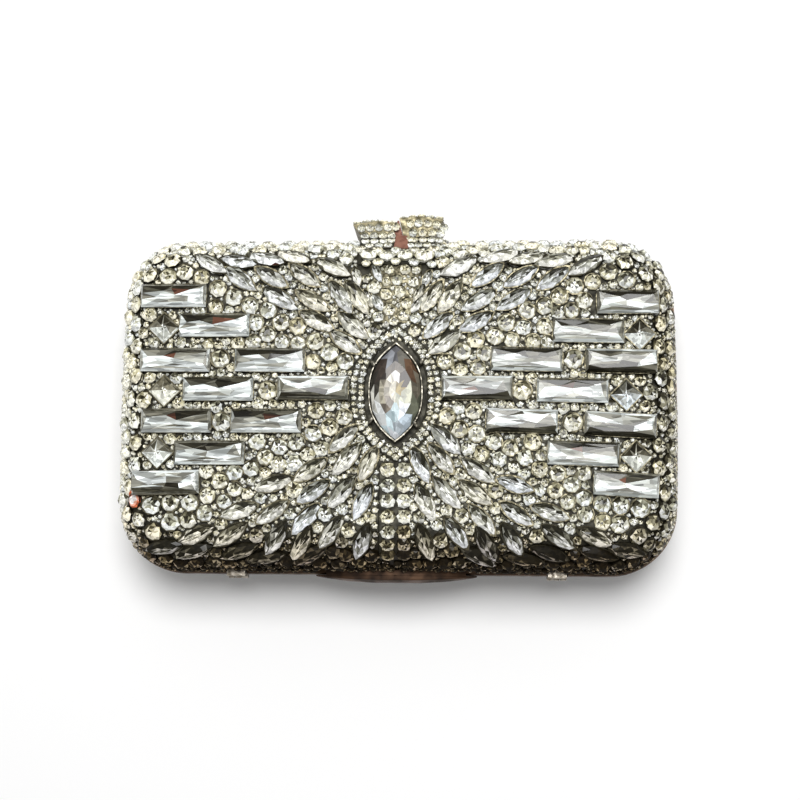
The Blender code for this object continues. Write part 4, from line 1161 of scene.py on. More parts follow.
def full_navette(turn):
    """The full-bodied navette from the angle, long along the first axis."""
    return np.cos(turn), np.sign(np.sin(turn)) * (1 - np.abs(np.cos(turn)) ** NAVETTE_POWER)


jewel_shape, jewel_faces, _, _ = ring_cut(
    full_navette,
    16,
    (
        (0.95, 0, 0, 0, 0), (1, 0.48, 0, 0, 0), (0.86, 0.72, 0.5, 0, 0), (0.66, 0.95, 0, 0, 0),
        (0.46, 0.985, 0.5, 0, 0), (0.24, 1.0, 0, 0, 0),
    ),
    (1.0, 0.5, 0.0),
)
jewel_size = np.array((JEWEL_SIZE[0] / 2, JEWEL_SIZE[1] / 2, JEWEL_RISE))
jewel_along = np.array((UPWARD,))
points = stood(jewel_shape, ornament[None], jewel_along, np.array((LEVEL,)), jewel_size[None])
shares = (points[0][jewel_faces].mean(1) - ornament)[:, :2] / jewel_size[1::-1]
spots = np.array([place for place, _ in JEWEL_REFLECTIONS])
lights = np.array([colour for _, colour in JEWEL_REFLECTIONS])
nearest = np.linalg.norm(shares[:, None] - spots[None], axis=-1).argmin(1)
for half, seed in (("front", 31), ("back", 32)):
    random = np.random.default_rng(seed)
    colours = lights[nearest] * random.uniform(*JEWEL_CHANCE, (len(nearest), 1))
    nodes = (f"{half}_jewel", f"{half}_centre_stones")
    add_stones(f"{half}_navette_jewel", half, points, jewel_faces, colours, clear_glass, "crystal", *nodes)

silver = aged_finish_with_painted_shade("white_metal", SILVER, SILVER_DARK, 800, 0.3, 0.35)
dull_metal = aged_finish_with_painted_shade("dull_setting_metal", DULL, DULL_DARK, 900, 0.4, 0.4)
BEZEL_SECTION = ((0.0, 0.0), (0.0, 0.9), (0.25, 1.0), (0.75, 1.0), (1.0, 0.85), (1.0, 0.0))


def wider(size, wall):
    """The navette about this wall outside the first: its points move out faster than its sides."""
    return size[0] + 2 * wall * size[0] / size[1], size[1] + 2 * wall


claw_shape, claw_faces, _, _ = ring_cut(
    round_outline, 10, ((1, -0.9, 0, 0, 0), (1, 0.3, 0, 0, 0), (0.7, 0.85, 0.5, 0, 0)), (1.0, 0, 0)
)
claw_table = np.array(CLAW_PIXELS)
claw_top = BEZEL_RISE + CLAW_HALF[2]
claw_middle, claw_along, claw_normal = on_flat(claw_table[:, :2], claw_table[:, 2], claw_top)
claw_middle = claw_middle + (0, 0, BEZEL_RISE)
claw_points = stood(claw_shape, claw_middle, claw_along, claw_normal, alike(CLAW_HALF, len(claw_table)))
claw_white = np.ones((len(claw_table), len(claw_faces), 3))
bezel_sizes = [wider(BEZEL_INNER, share * BEZEL_WALL) for share, _ in BEZEL_SECTION]
bezel_rings = navette_body(bezel_sizes, [share * BEZEL_RISE for _, share in BEZEL_SECTION])
outer_bevel, inner_bevel = wider(HALO_SIZE, HALO_BEVELS[0]), wider(HALO_INNER, HALO_BEVELS[1])
halo_sizes = (HALO_SIZE, HALO_SIZE, outer_bevel, inner_bevel, HALO_INNER, HALO_INNER)
halo_rings = navette_body(halo_sizes, HALO_HEIGHT_SHARES * HALO_RISE)
for half in ("front", "back"):
    add_part("bezel", half, loft(bezel_rings + ornament), silver, "steel", f"{half}_jewel_bezel")
    add_stones(f"{half}_claws", half, claw_points, claw_faces, claw_white, silver, "steel")
    add_part("halo_plate", half, loft(halo_rings + ornament), olive_and_shade, "pave_setting", f"{half}_halo")

# Pave. Small round stones on plates: two rows round the jewel, and below it two columns of larger stones
# that run over the edge of the case. The plate up to the clasp takes marquises, rounds and filler stones
# later on.
TOP_BAND_HALF = 0.0087
TOP_BAND_START = 0.0262
TOP_BAND_END = 0.0456
LOW_BAND_HALF = 0.0050
LOW_BAND_START = -0.0212
LOW_BAND_END = -0.0528
BAND_RISE = 0.0009
COLUMN_STONE = 0.0026
COLUMN_RISE = 0.0019
COLUMN_PIXELS = (387.5, 404.0)
BAND_STONE_PIXELS = (469, 485, 500.5, 516.5, 532, 545.5, 556)
BAND_STEPS = 40
BAND_SECTION = np.array(((-1, 0.03), (-1, 0.6), (-0.94, 1), (0.94, 1), (1, 0.6), (1, 0.03)))
HALO_ROW_INSET = 0.00115
HALO_RADII = (0.78, 1.06)
HALO_LENGTHS = (0.9, 1.12)
HALO_DEPTH = 0.95
HALO_CHANCES = (0.12, 0.5, 0.7)
COLUMN_CHANCES = (0.06, 0.5, 0.6)
FINE_STEPS = 400
ARC_STEPS = 200
STONE_SEAT = 0.8
SMALL_RISE = 0.002

pave_glass = glass_finish("pave_glass", 1500, 0.95, 0.2, 0.25)
seed_cut = ring_cut(
    round_outline,
    6,
    ((0.85, 0, 0, 0, 0), (1, 0.5, 0, 0.2, 0.2), (0.55, 1, 0.5, 0.5, 0.85)),
    (1.0, 0.7, 0.25),
)
round_cut = ring_cut(
    round_outline,
    8,
    ((0.85, 0, 0, 0, 0), (1, 0.45, 0, 0.2, 0.2), (0.80, 0.74, 0.5, 0.42, 0.80), (0.44, 1, 0, 0.95, 0.55)),
    (1.0, 0.44, 0.10),
)
halo_cut = (*seed_cut[:2], seed_cut[2] - HALO_SHADE, seed_cut[3])


def band_at(y):
    """Points of the shell along the middle line, and their normals, for a distance run along the face and
    down over the edge: past the flat, the distance is spent on the dome's arc."""
    flat_end = half_height - SHELL_INSET - EDGE_ROUNDING
    arc = np.linspace(math.pi / 2, 0, ARC_STEPS)
    line_y = flat_end + EDGE_ROUNDING * np.cos(arc)
    line_z = dome_base + (DOME_TOP - dome_base) * np.sin(arc)
    run = np.concatenate(((0,), np.cumsum(np.hypot(np.diff(line_y), np.diff(line_z)))))
    past = np.maximum(np.abs(y) - flat_end, 0)
    new_y = np.where(past > 0, np.interp(past, run, line_y), np.abs(y)) * np.sign(y)
    new_z = np.where(past > 0, np.interp(past, run, line_z), DOME_TOP)
    return onto_case(np.stack((np.zeros_like(y), new_y, new_z), -1))


def strip_body(middle, normal, half_x, rise):
    """A strip along a line of places: a section with cut corners, raised by the line's normals."""
    rings = middle[:, None] + normal[:, None] * BAND_SECTION[None, :, 1:] * rise
    rings[..., 0] += BAND_SECTION[None, :, 0] * half_x
    return loft(rings, capped=True)


for half in ("front", "back"):
    for label, start, end, half_x, finish, node in (
        ("top_band", TOP_BAND_START, TOP_BAND_END, TOP_BAND_HALF, dull_metal, "top_strip"),
        ("low_band", LOW_BAND_START, LOW_BAND_END, LOW_BAND_HALF, olive_and_shade, "bottom_strip"),
    ):
        strip = strip_body(*band_at(np.linspace(start, end, BAND_STEPS)), half_x, BAND_RISE)
        add_part(label, half, strip, finish, "pave_setting", f"{half}_{node}")

halo_places = []
for size in (wider(HALO_INNER, HALO_ROW_INSET), wider(HALO_SIZE, -HALO_ROW_INSET)):
    fine = navette_line(size, np.linspace(0, 1, FINE_STEPS))
    run = np.concatenate(((0,), np.cumsum(np.hypot(*np.diff(fine, axis=0).T))))
    stops = np.linspace(0, run[-1], int(run[-1] / HALO_PITCH), endpoint=False)
    halo_places.append(np.stack([np.interp(stops, run, fine[:, axis]) for axis in (0, 1)], -1))
halo_flat = np.concatenate(halo_places) + ornament[:2]
halo_middle = np.insert(halo_flat, 2, DOME_TOP + HALO_RISE * STONE_SEAT, axis=1)
halo_count = len(halo_middle)
halo_normal = alike(LEVEL, halo_count)

low_pixels = [(x, y) for y in BAND_STONE_PIXELS for x in COLUMN_PIXELS]
low_middle, low_normal = on_case(low_pixels, SMALL_RISE)
low_middle = low_middle + low_normal * BAND_RISE * STONE_SEAT
low_places = (low_middle, unit(np.cross(uphill(low_normal), low_normal)), low_normal)
low_size = alike((COLUMN_STONE, COLUMN_STONE, COLUMN_RISE), len(low_middle))
for half, seed in (("front", 41), ("back", 42)):
    random = np.random.default_rng(seed)
    middle = halo_middle + random.uniform(-1, 1, halo_middle.shape) * (HALO_STRAY, HALO_STRAY, 0)
    along = spun(alike(SIDEWAYS, halo_count), halo_normal, math.tau * random.random((halo_count, 1)))
    radius = HALO_STONE * random.uniform(*HALO_RADII, halo_count)
    length = radius * random.uniform(*HALO_LENGTHS, halo_count)
    size = np.stack((length, radius, radius * HALO_DEPTH), -1)
    places = (middle, along, halo_normal)
    set_stones(
        f"{half}_halo_stones", half, halo_cut, places, size, HALO_STONE, HALO_CHANCES, random,
        pave_glass, "pave_setting",
    )
    set_stones(
        f"{half}_column_stones", half, round_cut, low_places, low_size, COLUMN_STONE, COLUMN_CHANCES,
        random, pave_glass, "crystal",
    )

# Marquises and rounds. Marquise stones fan out from the jewel to the corners, and rounds run in bands
# between them, beside the baguettes and down the curved ends; each is glued in a cup with claws.
MARQUISE_RISE = 0.0034
MARQUISE_HALF = (0.0068, 0.0028)
STRIP_HALF = (0.0036, 0.0016)
STRIP_MARQUISES = (
    (361, 270, -75), (428, 274, 65), (378, 272, -65), (366, 298, -65), (424, 290, 58), (418, 302, 55),
    (374, 301, -60),
)
STRIP_ROUNDS = (
    (389.5, 267, 5.5), (405.5, 268, 6), (413.5, 281, 6), (385.5, 293.5, 6.5), (400, 291, 6.5),
    (406.5, 303, 6), (387, 308.5, 6.5), (403.5, 315, 6.5), (397, 279, 5.5), (384, 280, 5),
    (374, 287, 7.5), (417, 268, 5), (395, 320, 5), (378, 316, 6), (414, 316, 6), (131.5, 500, 7.5),
)
MARQUISE_PIXELS = (
    (459, 262, 25), (488, 270, 35), (521, 274, 30), (552, 274, 35), (450, 295, 55), (427, 293, 55),
    (479, 299, 30), (515, 299, 30), (476, 321, 28), (438, 324, 40), (445, 341, 35), (500, 252, 15),
    (528, 253.5, 12), (556, 256, 10), (587, 263, 30),
    (445, 438, -45), (441, 458, -50), (419.5, 463, -65), (424.5, 501, -65), (446, 492, -50),
    (475, 492, -35), (478, 470, -35), (515, 484, -18), (479, 523, -50), (516, 513, -35), (550, 512, -18),
    (457.6, 535.6, -55), (512, 545, -58), (558.5, 538.5, -35), (597, 533.5, -25), (424.5, 545, -70),
    (550, 559, -20), (599, 558, -15), (632, 553, -10), (480, 556, -30), (524, 563, -10), (486, 549, -60),
)
ROUND_PIXELS = (
    (592, 279, 8.5), (608.6, 270, 9), (626, 259.6, 9), (640, 254.5, 8.5), (649, 272, 9), (627, 279, 9),
    (576, 287, 9), (559.6, 296, 9), (543, 305.5, 9), (526.5, 312.6, 9), (510, 323, 9), (495, 335.5, 9),
    (478.6, 342, 9), (462, 351, 9), (445, 360.6, 8.5), (595, 303.5, 8.5), (579, 305.5, 8), (545, 326, 8.5),
    (528, 331, 8.5), (537, 342, 8), (512, 342, 8), (497, 352, 8), (552, 342, 7.5), (481, 361, 8),
    (473.5, 410.6, 8.5), (444, 416.7, 8.5), (460, 427, 9), (474.5, 433, 9), (493, 440, 9), (511, 448, 8.5),
    (531.6, 441, 9), (528, 457, 8.5), (545, 467, 8.5), (562, 472, 8.5), (578, 481, 9), (595, 489, 8.5),
    (585, 475, 8), (604, 503, 9), (590, 506.5, 8.5), (603.5, 518, 8.5), (618, 505.5, 9), (636, 508.6, 10),
    (622, 525, 9.5), (636, 537, 9.5), (648, 545, 8), (654, 515, 8.5), (560, 489, 8), (574, 497, 8),
    (574, 358.5, 10), (522, 390, 10), (573, 422, 10), (651, 395, 9),
)
EDGE_PIXELS = (
    (661.5, 286), (662.5, 302), (663.5, 323), (662, 346), (662.5, 376), (663.5, 399), (663.5, 422),
    (661.5, 444), (661.5, 469), (663.5, 495), (665, 512),
)
EDGE_RADIUS = 0.0029
ROUND_PIXEL = 0.00033
ROUND_DEPTH = 0.75
MARQUISE_CHANCES = (0.06, 0.3, 0.95)
ROUND_CHANCES = (0.09, 0.8, 0.9)
HALF_DIAGONAL = 0.71
LEAST_GAP = 1e-9
SETTLE_MOVE = 0.8
SETTLE_HOME = 0.04
MARQUISE_SCALES = (0.95, 1.04)
MARQUISE_DISCS = np.array((-0.55, 0, 0.55))
MARQUISE_REACHES = np.array((0.62, 0.95, 0.62))
CLEAR_REACH = 0.0012
# Lines that larger stones keep off, as (start, end, places, columns): the clasp's apron, the columns
# below the jewel, and the ends of the apron.
KEPT_CLEAR = (
    (TOP_BAND_END + 0.0012, TOP_BAND_END + 0.012, 12, (-0.0075, -0.0045, -0.0015, 0.0015, 0.0045, 0.0075)),
    (LOW_BAND_START, LOW_BAND_END, 36, (-0.0038, -0.0013, 0.0013, 0.0038)),
    (0.0445, 0.058, 12, (-0.0118, -0.0095, 0.0095, 0.0118)),
)


def as_seen(table, rise):
    """Middles and directions of stones of this rise, from a table of (pixel x, pixel y, slant)."""
    table = np.array(table)
    middle, normal = on_case(table[:, :2], rise)
    return middle, seen_along(table[:, 2], normal)


marquise_middle, marquise_along = as_seen(MARQUISE_PIXELS, MARQUISE_RISE)
strip_middle, strip_along = as_seen(STRIP_MARQUISES, MARQUISE_RISE)
marquise_half = [alike(MARQUISE_HALF, 2 * len(marquise_middle)), alike(STRIP_HALF, len(strip_middle))]
marquise_half = np.concatenate(marquise_half)
marquise_middle = np.concatenate((marquise_middle, mirrored(marquise_middle), strip_middle))
marquise_along = np.concatenate((marquise_along, mirrored(marquise_along), strip_along))
side_table = np.array(ROUND_PIXELS)
strip_table = np.array(STRIP_ROUNDS)
side_pixels = (side_table[:, :2], EDGE_PIXELS)
side_middle = np.concatenate([on_case(pixels, SMALL_RISE)[0] for pixels in side_pixels])
side_radius = np.concatenate((side_table[:, 2] * ROUND_PIXEL, np.full(len(EDGE_PIXELS), EDGE_RADIUS)))
strip_middle, _ = on_case(strip_table[:, :2], SMALL_RISE)
round_middle = np.concatenate((side_middle, mirrored(side_middle), strip_middle))
round_radius = np.concatenate((side_radius, side_radius, strip_table[:, 2] * ROUND_PIXEL))


def block_discs(middle, along, normal, half_size, columns, rows):
    """A four-sided stone as discs on a grid over it, for keeping others off."""
    across = np.cross(normal, along)
    radius = half_size[1] / rows
    u = np.linspace(-half_size[0] + radius, half_size[0] - radius, columns)
    v = np.linspace(-half_size[1] + radius, half_size[1] - radius, rows)
    u, v = (grid.ravel() for grid in np.meshgrid(u, v))
    places = middle[:, None] + along[:, None] * u[None, :, None] + across[:, None] * v[None, :, None]
    return places.reshape(-1, 3), np.full(places.size // 3, radius)


fixed = [block_discs(*baguette_places, BAGUETTE_HALF, 12, 3)]
square_middle, square_along, square_normal = square_places
turned = unit(square_along + np.cross(square_normal, square_along))
square_side = SQUARE_HALF * HALF_DIAGONAL
fixed.append(block_discs(square_middle, turned, square_normal, (square_side, square_side), 3, 3))
share = np.linspace(0, 1, 120)
halo_line = np.concatenate([navette_line(wider(HALO_SIZE, -wall), share) for wall in HALO_WALLS])
halo_discs = np.insert(halo_line + ornament[:2], 2, DOME_TOP, axis=1)
fixed.append((halo_discs, np.full(len(halo_discs), HALO_WALLS[0])))
for start, end, count, columns in KEPT_CLEAR:
    line, _ = band_at(np.linspace(start, end, count))
    fixed += [(line + (x, 0, 0), np.full(count, CLEAR_REACH)) for x in columns]
fixed_middle = np.concatenate([places for places, _ in fixed])
fixed_radius = np.concatenate([radii for _, radii in fixed])


def stone_discs(middle, along, offsets):
    """Each stone's three discs along its axis."""
    return middle[:, None] + offsets[..., None] * along[:, None]


def lifted(middle, normal):
    """Places on the strip up to the clasp moved up onto its plate."""
    x, y = middle[:, 0], middle[:, 1]
    on_strip = (np.abs(x) < TOP_BAND_HALF) & (y > TOP_BAND_START) & (y < TOP_BAND_END)
    return middle + normal * np.where(on_strip, BAND_RISE * STONE_SEAT, 0)[:, None]


def settle(middle, along, offsets, radii, rounds=60):
    """Stones nudged apart over the shell: discs that overlap push their stones off by a share of the
    overlap, the fixed ones hold, and each stone is drawn weakly to where it was seen."""
    home = middle.copy()
    owner = np.repeat(np.arange(len(middle)), offsets.shape[1])
    reach = radii.ravel()
    for _ in range(rounds):
        middle, normal = onto_case(middle)
        along = unit(along - (along * normal).sum(-1, keepdims=True) * normal)
        discs = stone_discs(middle, along, offsets).reshape(-1, 3)
        apart = discs[:, None] - discs[None]
        gap = np.linalg.norm(apart, axis=-1) + LEAST_GAP
        overlap = np.maximum(reach[:, None] + reach[None] - gap, 0) * (owner[:, None] != owner[None])
        push = (apart * (overlap / gap)[..., None]).sum(1) * 0.5
        apart = discs[:, None] - fixed_middle[None]
        gap = np.linalg.norm(apart, axis=-1) + LEAST_GAP
        overlap = np.maximum(reach[:, None] + fixed_radius[None] - gap, 0)
        push += (apart * (overlap / gap)[..., None]).sum(1) / np.maximum((overlap > 0).sum(1), 1)[:, None]
        move = push.reshape(len(middle), -1, 3).mean(1)
        middle = middle + SETTLE_MOVE * move + SETTLE_HOME * (home - middle)
    middle, normal = onto_case(middle)
    along = unit(along - (along * normal).sum(-1, keepdims=True) * normal)
    return middle, along, normal


marquise_offsets = MARQUISE_DISCS * marquise_half[:, :1]
marquise_radii = MARQUISE_REACHES * marquise_half[:, 1:]
round_count = len(round_middle)
all_middle, all_along, all_normal = settle(
    np.concatenate((marquise_middle, round_middle)),
    np.concatenate((marquise_along, alike(SIDEWAYS, round_count))),
    np.concatenate((marquise_offsets, np.zeros((round_count, 3)))),
    np.concatenate((marquise_radii, np.repeat(round_radius[:, None], 3, axis=1))),
)
count = len(marquise_middle)
marquise_middle, round_middle = all_middle[:count], all_middle[count:]
marquise_along, round_along = all_along[:count], all_along[count:]
marquise_normal, round_normal = all_normal[:count], all_normal[count:]

marquise_cut = ring_cut(
    navette_outline,
    10,
    (
        (0.88, 0, 0, 0, 0), (1, 0.45, 0, 0.2, 0.2), ((0.86, 0.76), 0.74, 0.5, 0.45, 0.78),
        ((0.74, 0.36), 0.96, 0, 0.78, 0.50), ((0.52, 0.08), 1.0, 0.5, 0.42, 0.66),
    ),
    (1.0, 0.5, 0.1),
)
marquise_size = np.column_stack((marquise_half, marquise_half[:, 1] * MARQUISE_RISE / MARQUISE_HALF[1]))
round_size = round_radius[:, None] * (1, 1, ROUND_DEPTH)
for half, seed in (("front", 51), ("back", 52)):
    random = np.random.default_rng(seed)
    size = marquise_size * random.uniform(*MARQUISE_SCALES, (count, 1))
    places = (lifted(marquise_middle, marquise_normal), marquise_along, marquise_normal)
    set_stones(
        f"{half}_marquises", half, marquise_cut, places, size, marquise_half[:, 1:], MARQUISE_CHANCES,
        random, crystal, "crystal", f"{half}_shell", scale=PALE_TONES,
    )
    along = spun(round_along, round_normal, math.tau * random.random((round_count, 1)))
    places = (lifted(round_middle, round_normal), along, round_normal)
    set_stones(
        f"{half}_rounds", half, round_cut, places, round_size, round_radius[:, None], ROUND_CHANCES,
        random, crystal, "crystal", f"{half}_shell",
    )

# Filler stones. The setter fills what is left with rounds and seeds in falling sizes, each pushed against
# the stones that are already there, over the face, the edges and the curved ends.
FILL_RADII = (0.0027, 0.0021, 0.0015, 0.00115, 0.00085, 0.00062, 0.0005)
FILL_STEP = 0.0007
FILL_OVERLAP = 0.88
FILL_STATIONS = 950
LOWEST_TOP = 0.0085
LOWEST_SIDE = 0.0138
LOWEST_SMALL = 0.0066
SMALL_RADII = (0.0015, 0.00115)
BIG_RADIUS = 0.0013
FILL_HALF_X = 0.09
FILL_HALF_Y = 0.055
FILL_STRAY = 0.9
FILL_LARGEST = 1.1
FILL_BLOCKS = 40
ARC_START = 0.07
ARC_ROWS = 34
FAR = 1.0
FILL_STOPS = np.array((-0.82, -0.55, -0.25, 0, 0.25, 0.55, 0.82))
FILL_REACHES = np.array((0.28, 0.62, 0.9, 0.97, 0.9, 0.62, 0.28))
FILL_CHANCES = (0.12, 0.8, 0.9)
LOWEST_SLOPE = 1.5
LOWEST_SHIFT = 0.3
TAKEN = 9.0
HALO_ROOM_X = 0.011
HALO_ROOM_Y = 0.012
HINGE_ROOM = 0.001
FOOT_LINE = -0.05
SEED_DEPTH = 0.8
SEED_STAND = 0.0003


def lowest_stone(points):
    """How low on the dome larger stones are set: nearly to the rim along the clasp's edge, else higher."""
    out = out_at(points)[:, 1]
    return LOWEST_SIDE + (LOWEST_TOP - LOWEST_SIDE) * np.clip(out * LOWEST_SLOPE - LOWEST_SHIFT, 0, 1)


fill_columns = np.arange(-FILL_HALF_X, FILL_HALF_X, FILL_STEP)
fill_rows = np.arange(-FILL_HALF_Y, FILL_HALF_Y, FILL_STEP)
fill_x, fill_y = np.meshgrid(fill_columns, fill_rows)
fill_flat = np.stack((fill_x.ravel(), fill_y.ravel(), np.full(fill_x.size, DOME_TOP)), -1)
fill_flat = fill_flat[inset_at(fill_flat[:, 0], fill_flat[:, 1]) >= EDGE_ROUNDING]
arc_steps = np.linspace(ARC_START, math.pi / 2, ARC_ROWS)
edge_share = np.linspace(0, 1, FILL_STATIONS)
edge_feet, edge_outs = (
    np.stack([np.interp(edge_share, np.linspace(0, 1, len(line)), line[:, axis]) for axis in (0, 1)], -1)
    for line in (shell_feet, shell_outs)
)
fill_edge = case_rings(
    SHELL_INSET + EDGE_ROUNDING * (1 - np.cos(arc_steps)),
    dome_base + (DOME_TOP - dome_base) * np.sin(arc_steps),
    edge_feet,
    edge_outs,
).reshape(-1, 3)
fill_random = np.random.default_rng(61)
fill_edge = fill_edge[fill_edge[:, 2] > LOWEST_SMALL]
fill_places = np.concatenate((fill_flat, fill_edge))
fill_stray = fill_random.uniform(-1, 1, fill_places.shape) * FILL_STEP * FILL_STRAY
fill_places, fill_normals = onto_case(fill_places + fill_stray)
in_low_zone = fill_places[:, 2] < lowest_stone(fill_places)
marquise_stops = FILL_STOPS * marquise_half[:, :1]
marquise_discs = stone_discs(marquise_middle, marquise_along, marquise_stops).reshape(-1, 3)
taken_middle = np.concatenate((fixed_middle, marquise_discs, round_middle))
taken_radius = np.concatenate((fixed_radius, (FILL_REACHES * marquise_half[:, 1:]).ravel(), round_radius))
clearance = np.full(len(fill_places), FAR)
for block in np.array_split(np.arange(len(taken_middle)), FILL_BLOCKS):
    distance = np.linalg.norm(fill_places[:, None] - taken_middle[None, block], axis=-1)
    distance -= taken_radius[block]
    clearance = np.minimum(clearance, distance.min(1))
fill_x, fill_y = fill_places[:, 0], fill_places[:, 1]
inside_halo = np.abs(fill_x - ornament[0]) < HALO_ROOM_X
inside_halo &= np.abs(fill_y - ornament[1]) < HALO_ROOM_Y
behind_plate = np.abs(fill_x) < BASE_HALF_LENGTH
beside_hinge = np.abs(np.abs(fill_x) - HINGE_SPACING / 2) < LEAF_HALF + HINGE_ROOM
at_foot = (fill_y < FOOT_LINE) & (fill_places[:, 2] < BASE_HALF_DEPTH)
clearance[inside_halo | ((behind_plate | beside_hinge) & at_foot)] = -1
seeds = []
for radius in FILL_RADII:
    barred = in_low_zone & (radius not in SMALL_RADII)
    while True:
        free = np.where((clearance >= radius * FILL_OVERLAP) & ~barred, clearance, TAKEN)
        pick = int(free.argmin())
        if free[pick] > FAR:
            break
        seeds.append((pick, min(clearance[pick] / FILL_OVERLAP, radius * FILL_LARGEST)))
        distance = np.linalg.norm(fill_places - fill_places[pick], axis=-1) - seeds[-1][1] * FILL_OVERLAP
        clearance = np.minimum(clearance, distance)
seed_pick = np.array([pick for pick, _ in seeds])
seed_radius = np.array([radius for _, radius in seeds])
big = seed_radius > BIG_RADIUS
seed_normal = fill_normals[seed_pick]
seed_middle = lifted(fill_places[seed_pick], seed_normal)
seed_along = unit(np.cross(uphill(seed_normal), seed_normal))
for half, seed in (("front", 62), ("back", 63)):
    random = np.random.default_rng(seed)
    along = spun(seed_along, seed_normal, math.tau * random.random((len(seed_along), 1)))
    for label, chosen, cut in (("filler_rounds", big, round_cut), ("seeds", ~big, seed_cut)):
        radius = seed_radius[chosen]
        size = np.stack((radius, radius, radius * SEED_DEPTH + SEED_STAND), -1)
        places = (seed_middle[chosen], along[chosen], seed_normal[chosen])
        set_stones(
            f"{half}_{label}", half, cut, places, size, radius[:, None], FILL_CHANCES, random,
            pave_glass, "crystal",
        )

# Cups. Each larger stone stands in a cup stamped from thin white metal and soldered to the shell, coloured
# dark as painted shade round the stone. Its pale lip shows as a fine line round the stone.
CORNER_CUT = 1.35
BAGUETTE_CUP = (0.98, 1, 1)
# Dark, as painted shade round the stones.
CUP_METAL = (0.12, 0.108, 0.072)
CUP_METAL_DARK = (0.035, 0.031, 0.019)
CUP_LEVELS = ((0.84, 0.01), (1.045, 0.40), (1.045, 0.50), (0.95, 0.50))

cup_metal = aged_finish_with_painted_shade("cup_metal", CUP_METAL, CUP_METAL_DARK, 900, 0.3, 0.3)


def cup_rings(outline, sectors):
    """A unit cup: the outline widened from the foot to the lip, and drawn in just inside the lip."""
    angle = math.tau * np.arange(sectors) / sectors
    x, y = outline(angle)
    rings = []
    for scale, height in CUP_LEVELS:
        rings.append(np.stack((scale * x, scale * y, np.full(sectors, height)), -1))
    return np.stack(rings)


def block_outline(turn):
    """A rectangle from the angle, with slightly cut corners."""
    x, y = np.cos(turn), np.sin(turn)
    return np.clip(x * CORNER_CUT, -1, 1), np.clip(y * CORNER_CUT, -1, 1)


def cup_surface(outline, sectors, places, size):
    """Points and faces of one cup under each stone."""
    shape, faces = loft(cup_rings(outline, sectors), capped=True)
    points = stood(shape, *places, size)
    stones, each, _ = points.shape
    corners = np.array([(*face, face[-1])[:4] for face in faces])
    corners = (corners[None] + each * np.arange(stones)[:, None, None]).reshape(-1, 4)
    many = [face[:3] if face[2] == face[3] else face for face in corners.tolist()]
    return points.reshape(-1, 3), many


marquise_places = (marquise_middle, marquise_along, marquise_normal)
round_places = (round_middle, round_along, round_normal)
cups = (
    ("baguette_cups", block_outline, 16, baguette_places, baguette_size * BAGUETTE_CUP),
    ("square_cups", square_outline, 8, square_places, square_size),
    ("marquise_cups", navette_outline, 12, marquise_places, marquise_size),
    ("round_cups", round_outline, 10, round_places, round_size),
)
for half in ("front", "back"):
    for label, *cup in cups:
        add_part(label, half, cup_surface(*cup), cup_metal, "pave_setting", sharp=math.radians(30))

# Clasp. Two fan-shaped lobes on pins, cast in brass and set with rows of small stones. Below them an
# apron lies over the edge of the shell and juts out to a lip; a copper wedge fills the gap between the
# lobes.
LOBE_STONE = 0.00155
APRON_HALF = 0.0128
APRON_START = 0.0460
APRON_LEAVE = 0.0517
LIP_PLACE = (0.0, 0.0569, 0.0112)
LIP_PIXELS = (
    (414.5, 241), (423, 241), (431.5, 241), (439.5, 241.5), (365.5, 242.5), (374.5, 242.5), (383.5, 242),
    (391.5, 241.5), (409.5, 240.5), (410.5, 247), (418.5, 246.5), (427.5, 246.5), (436, 247), (369.5, 247),
    (379, 247), (388, 246.5),
)
BLOB_PIXELS = (
    (369, 253, 10), (387, 254, 9), (405, 253.5, 9.5), (424.5, 254.5, 11), (440, 252, 7), (377.5, 248, 6),
    (396, 248.5, 6), (414.5, 248, 6), (361, 247.5, 6), (434, 247, 6), (395.5, 259, 5.5), (378, 260, 6),
    (414, 260, 6), (366, 261, 5), (432, 262, 5.5), (443, 258, 5),
)
LOBE_PIXELS = {
    "clasp_lever": (
        (410.5, 224), (418.5, 223.5), (428, 223.5), (436.5, 225), (444, 228), (413, 233), (422.5, 233),
        (432, 233), (440.5, 234),
    ),
    "clasp_fixed_lobe": (
        (361.5, 228.5), (370, 228), (379, 227.5), (388, 227.5), (396, 227), (365, 236.5), (374, 236),
        (383, 236), (391.5, 236),
    ),
}
TRIM_SPAN = (0.16, 0.24)
TRIM_RISE = 0.0016
TRIM_SHARE = 0.94
WEDGE_FOOT = ((0.0025, 0.10), (0.0019, 0.97))
WEDGE_SHIFT = 0.0014
WEDGE_RISE = 0.0019
WEDGE_BODY = ((0.00185, 0.0577), (0.00030, 0.0640))
WEDGE_LEVELS = (-0.0040, 0.0098)
COPPER = (0.34, 0.150, 0.098)
COPPER_DARK = (0.22, 0.090, 0.060)
BLOB_RISE = 0.0022
BLOB_SUNK = 0.0014
LOBE_RISE = 0.0011
LIP_RISE = 0.0012
LOBE_ACROSS = (0.002, 0.0141)
LOBE_EDGE = 0.0015
LOBE_CROWN = 0.0009
LOBE_COLUMNS = 5
LOBE_ROWS = 7
LOBE_MIDDLE = 0.008
LOBE_REACH = 0.0075
LOBE_TOP = 0.6
STONE_OVAL = 0.95
BLOB_SHAPE = (1, 0.9, 0.8)
BLOB_CHANCES = (0, 0.5, 0.6)
LOBE_CHANCES = (0, 0.4, 0.5)
BRONZE = (0.22, 0.195, 0.125)
BRONZE_DARK = (0.10, 0.088, 0.052)
APRON_STEPS = 12
LIP_STEPS = 10

bronze = aged_finish_with_painted_shade("clasp_bronze", BRONZE, BRONZE_DARK, 500, 0.4, 0.3)
copper = aged_finish_with_painted_shade("copper_wedge_metal", COPPER, COPPER_DARK, 600, 0.5, 0.4, metallic=0.3)
refinish(["clasp_lever", "clasp_fixed_lobe", "front_clasp_post", "back_clasp_post"], bronze)


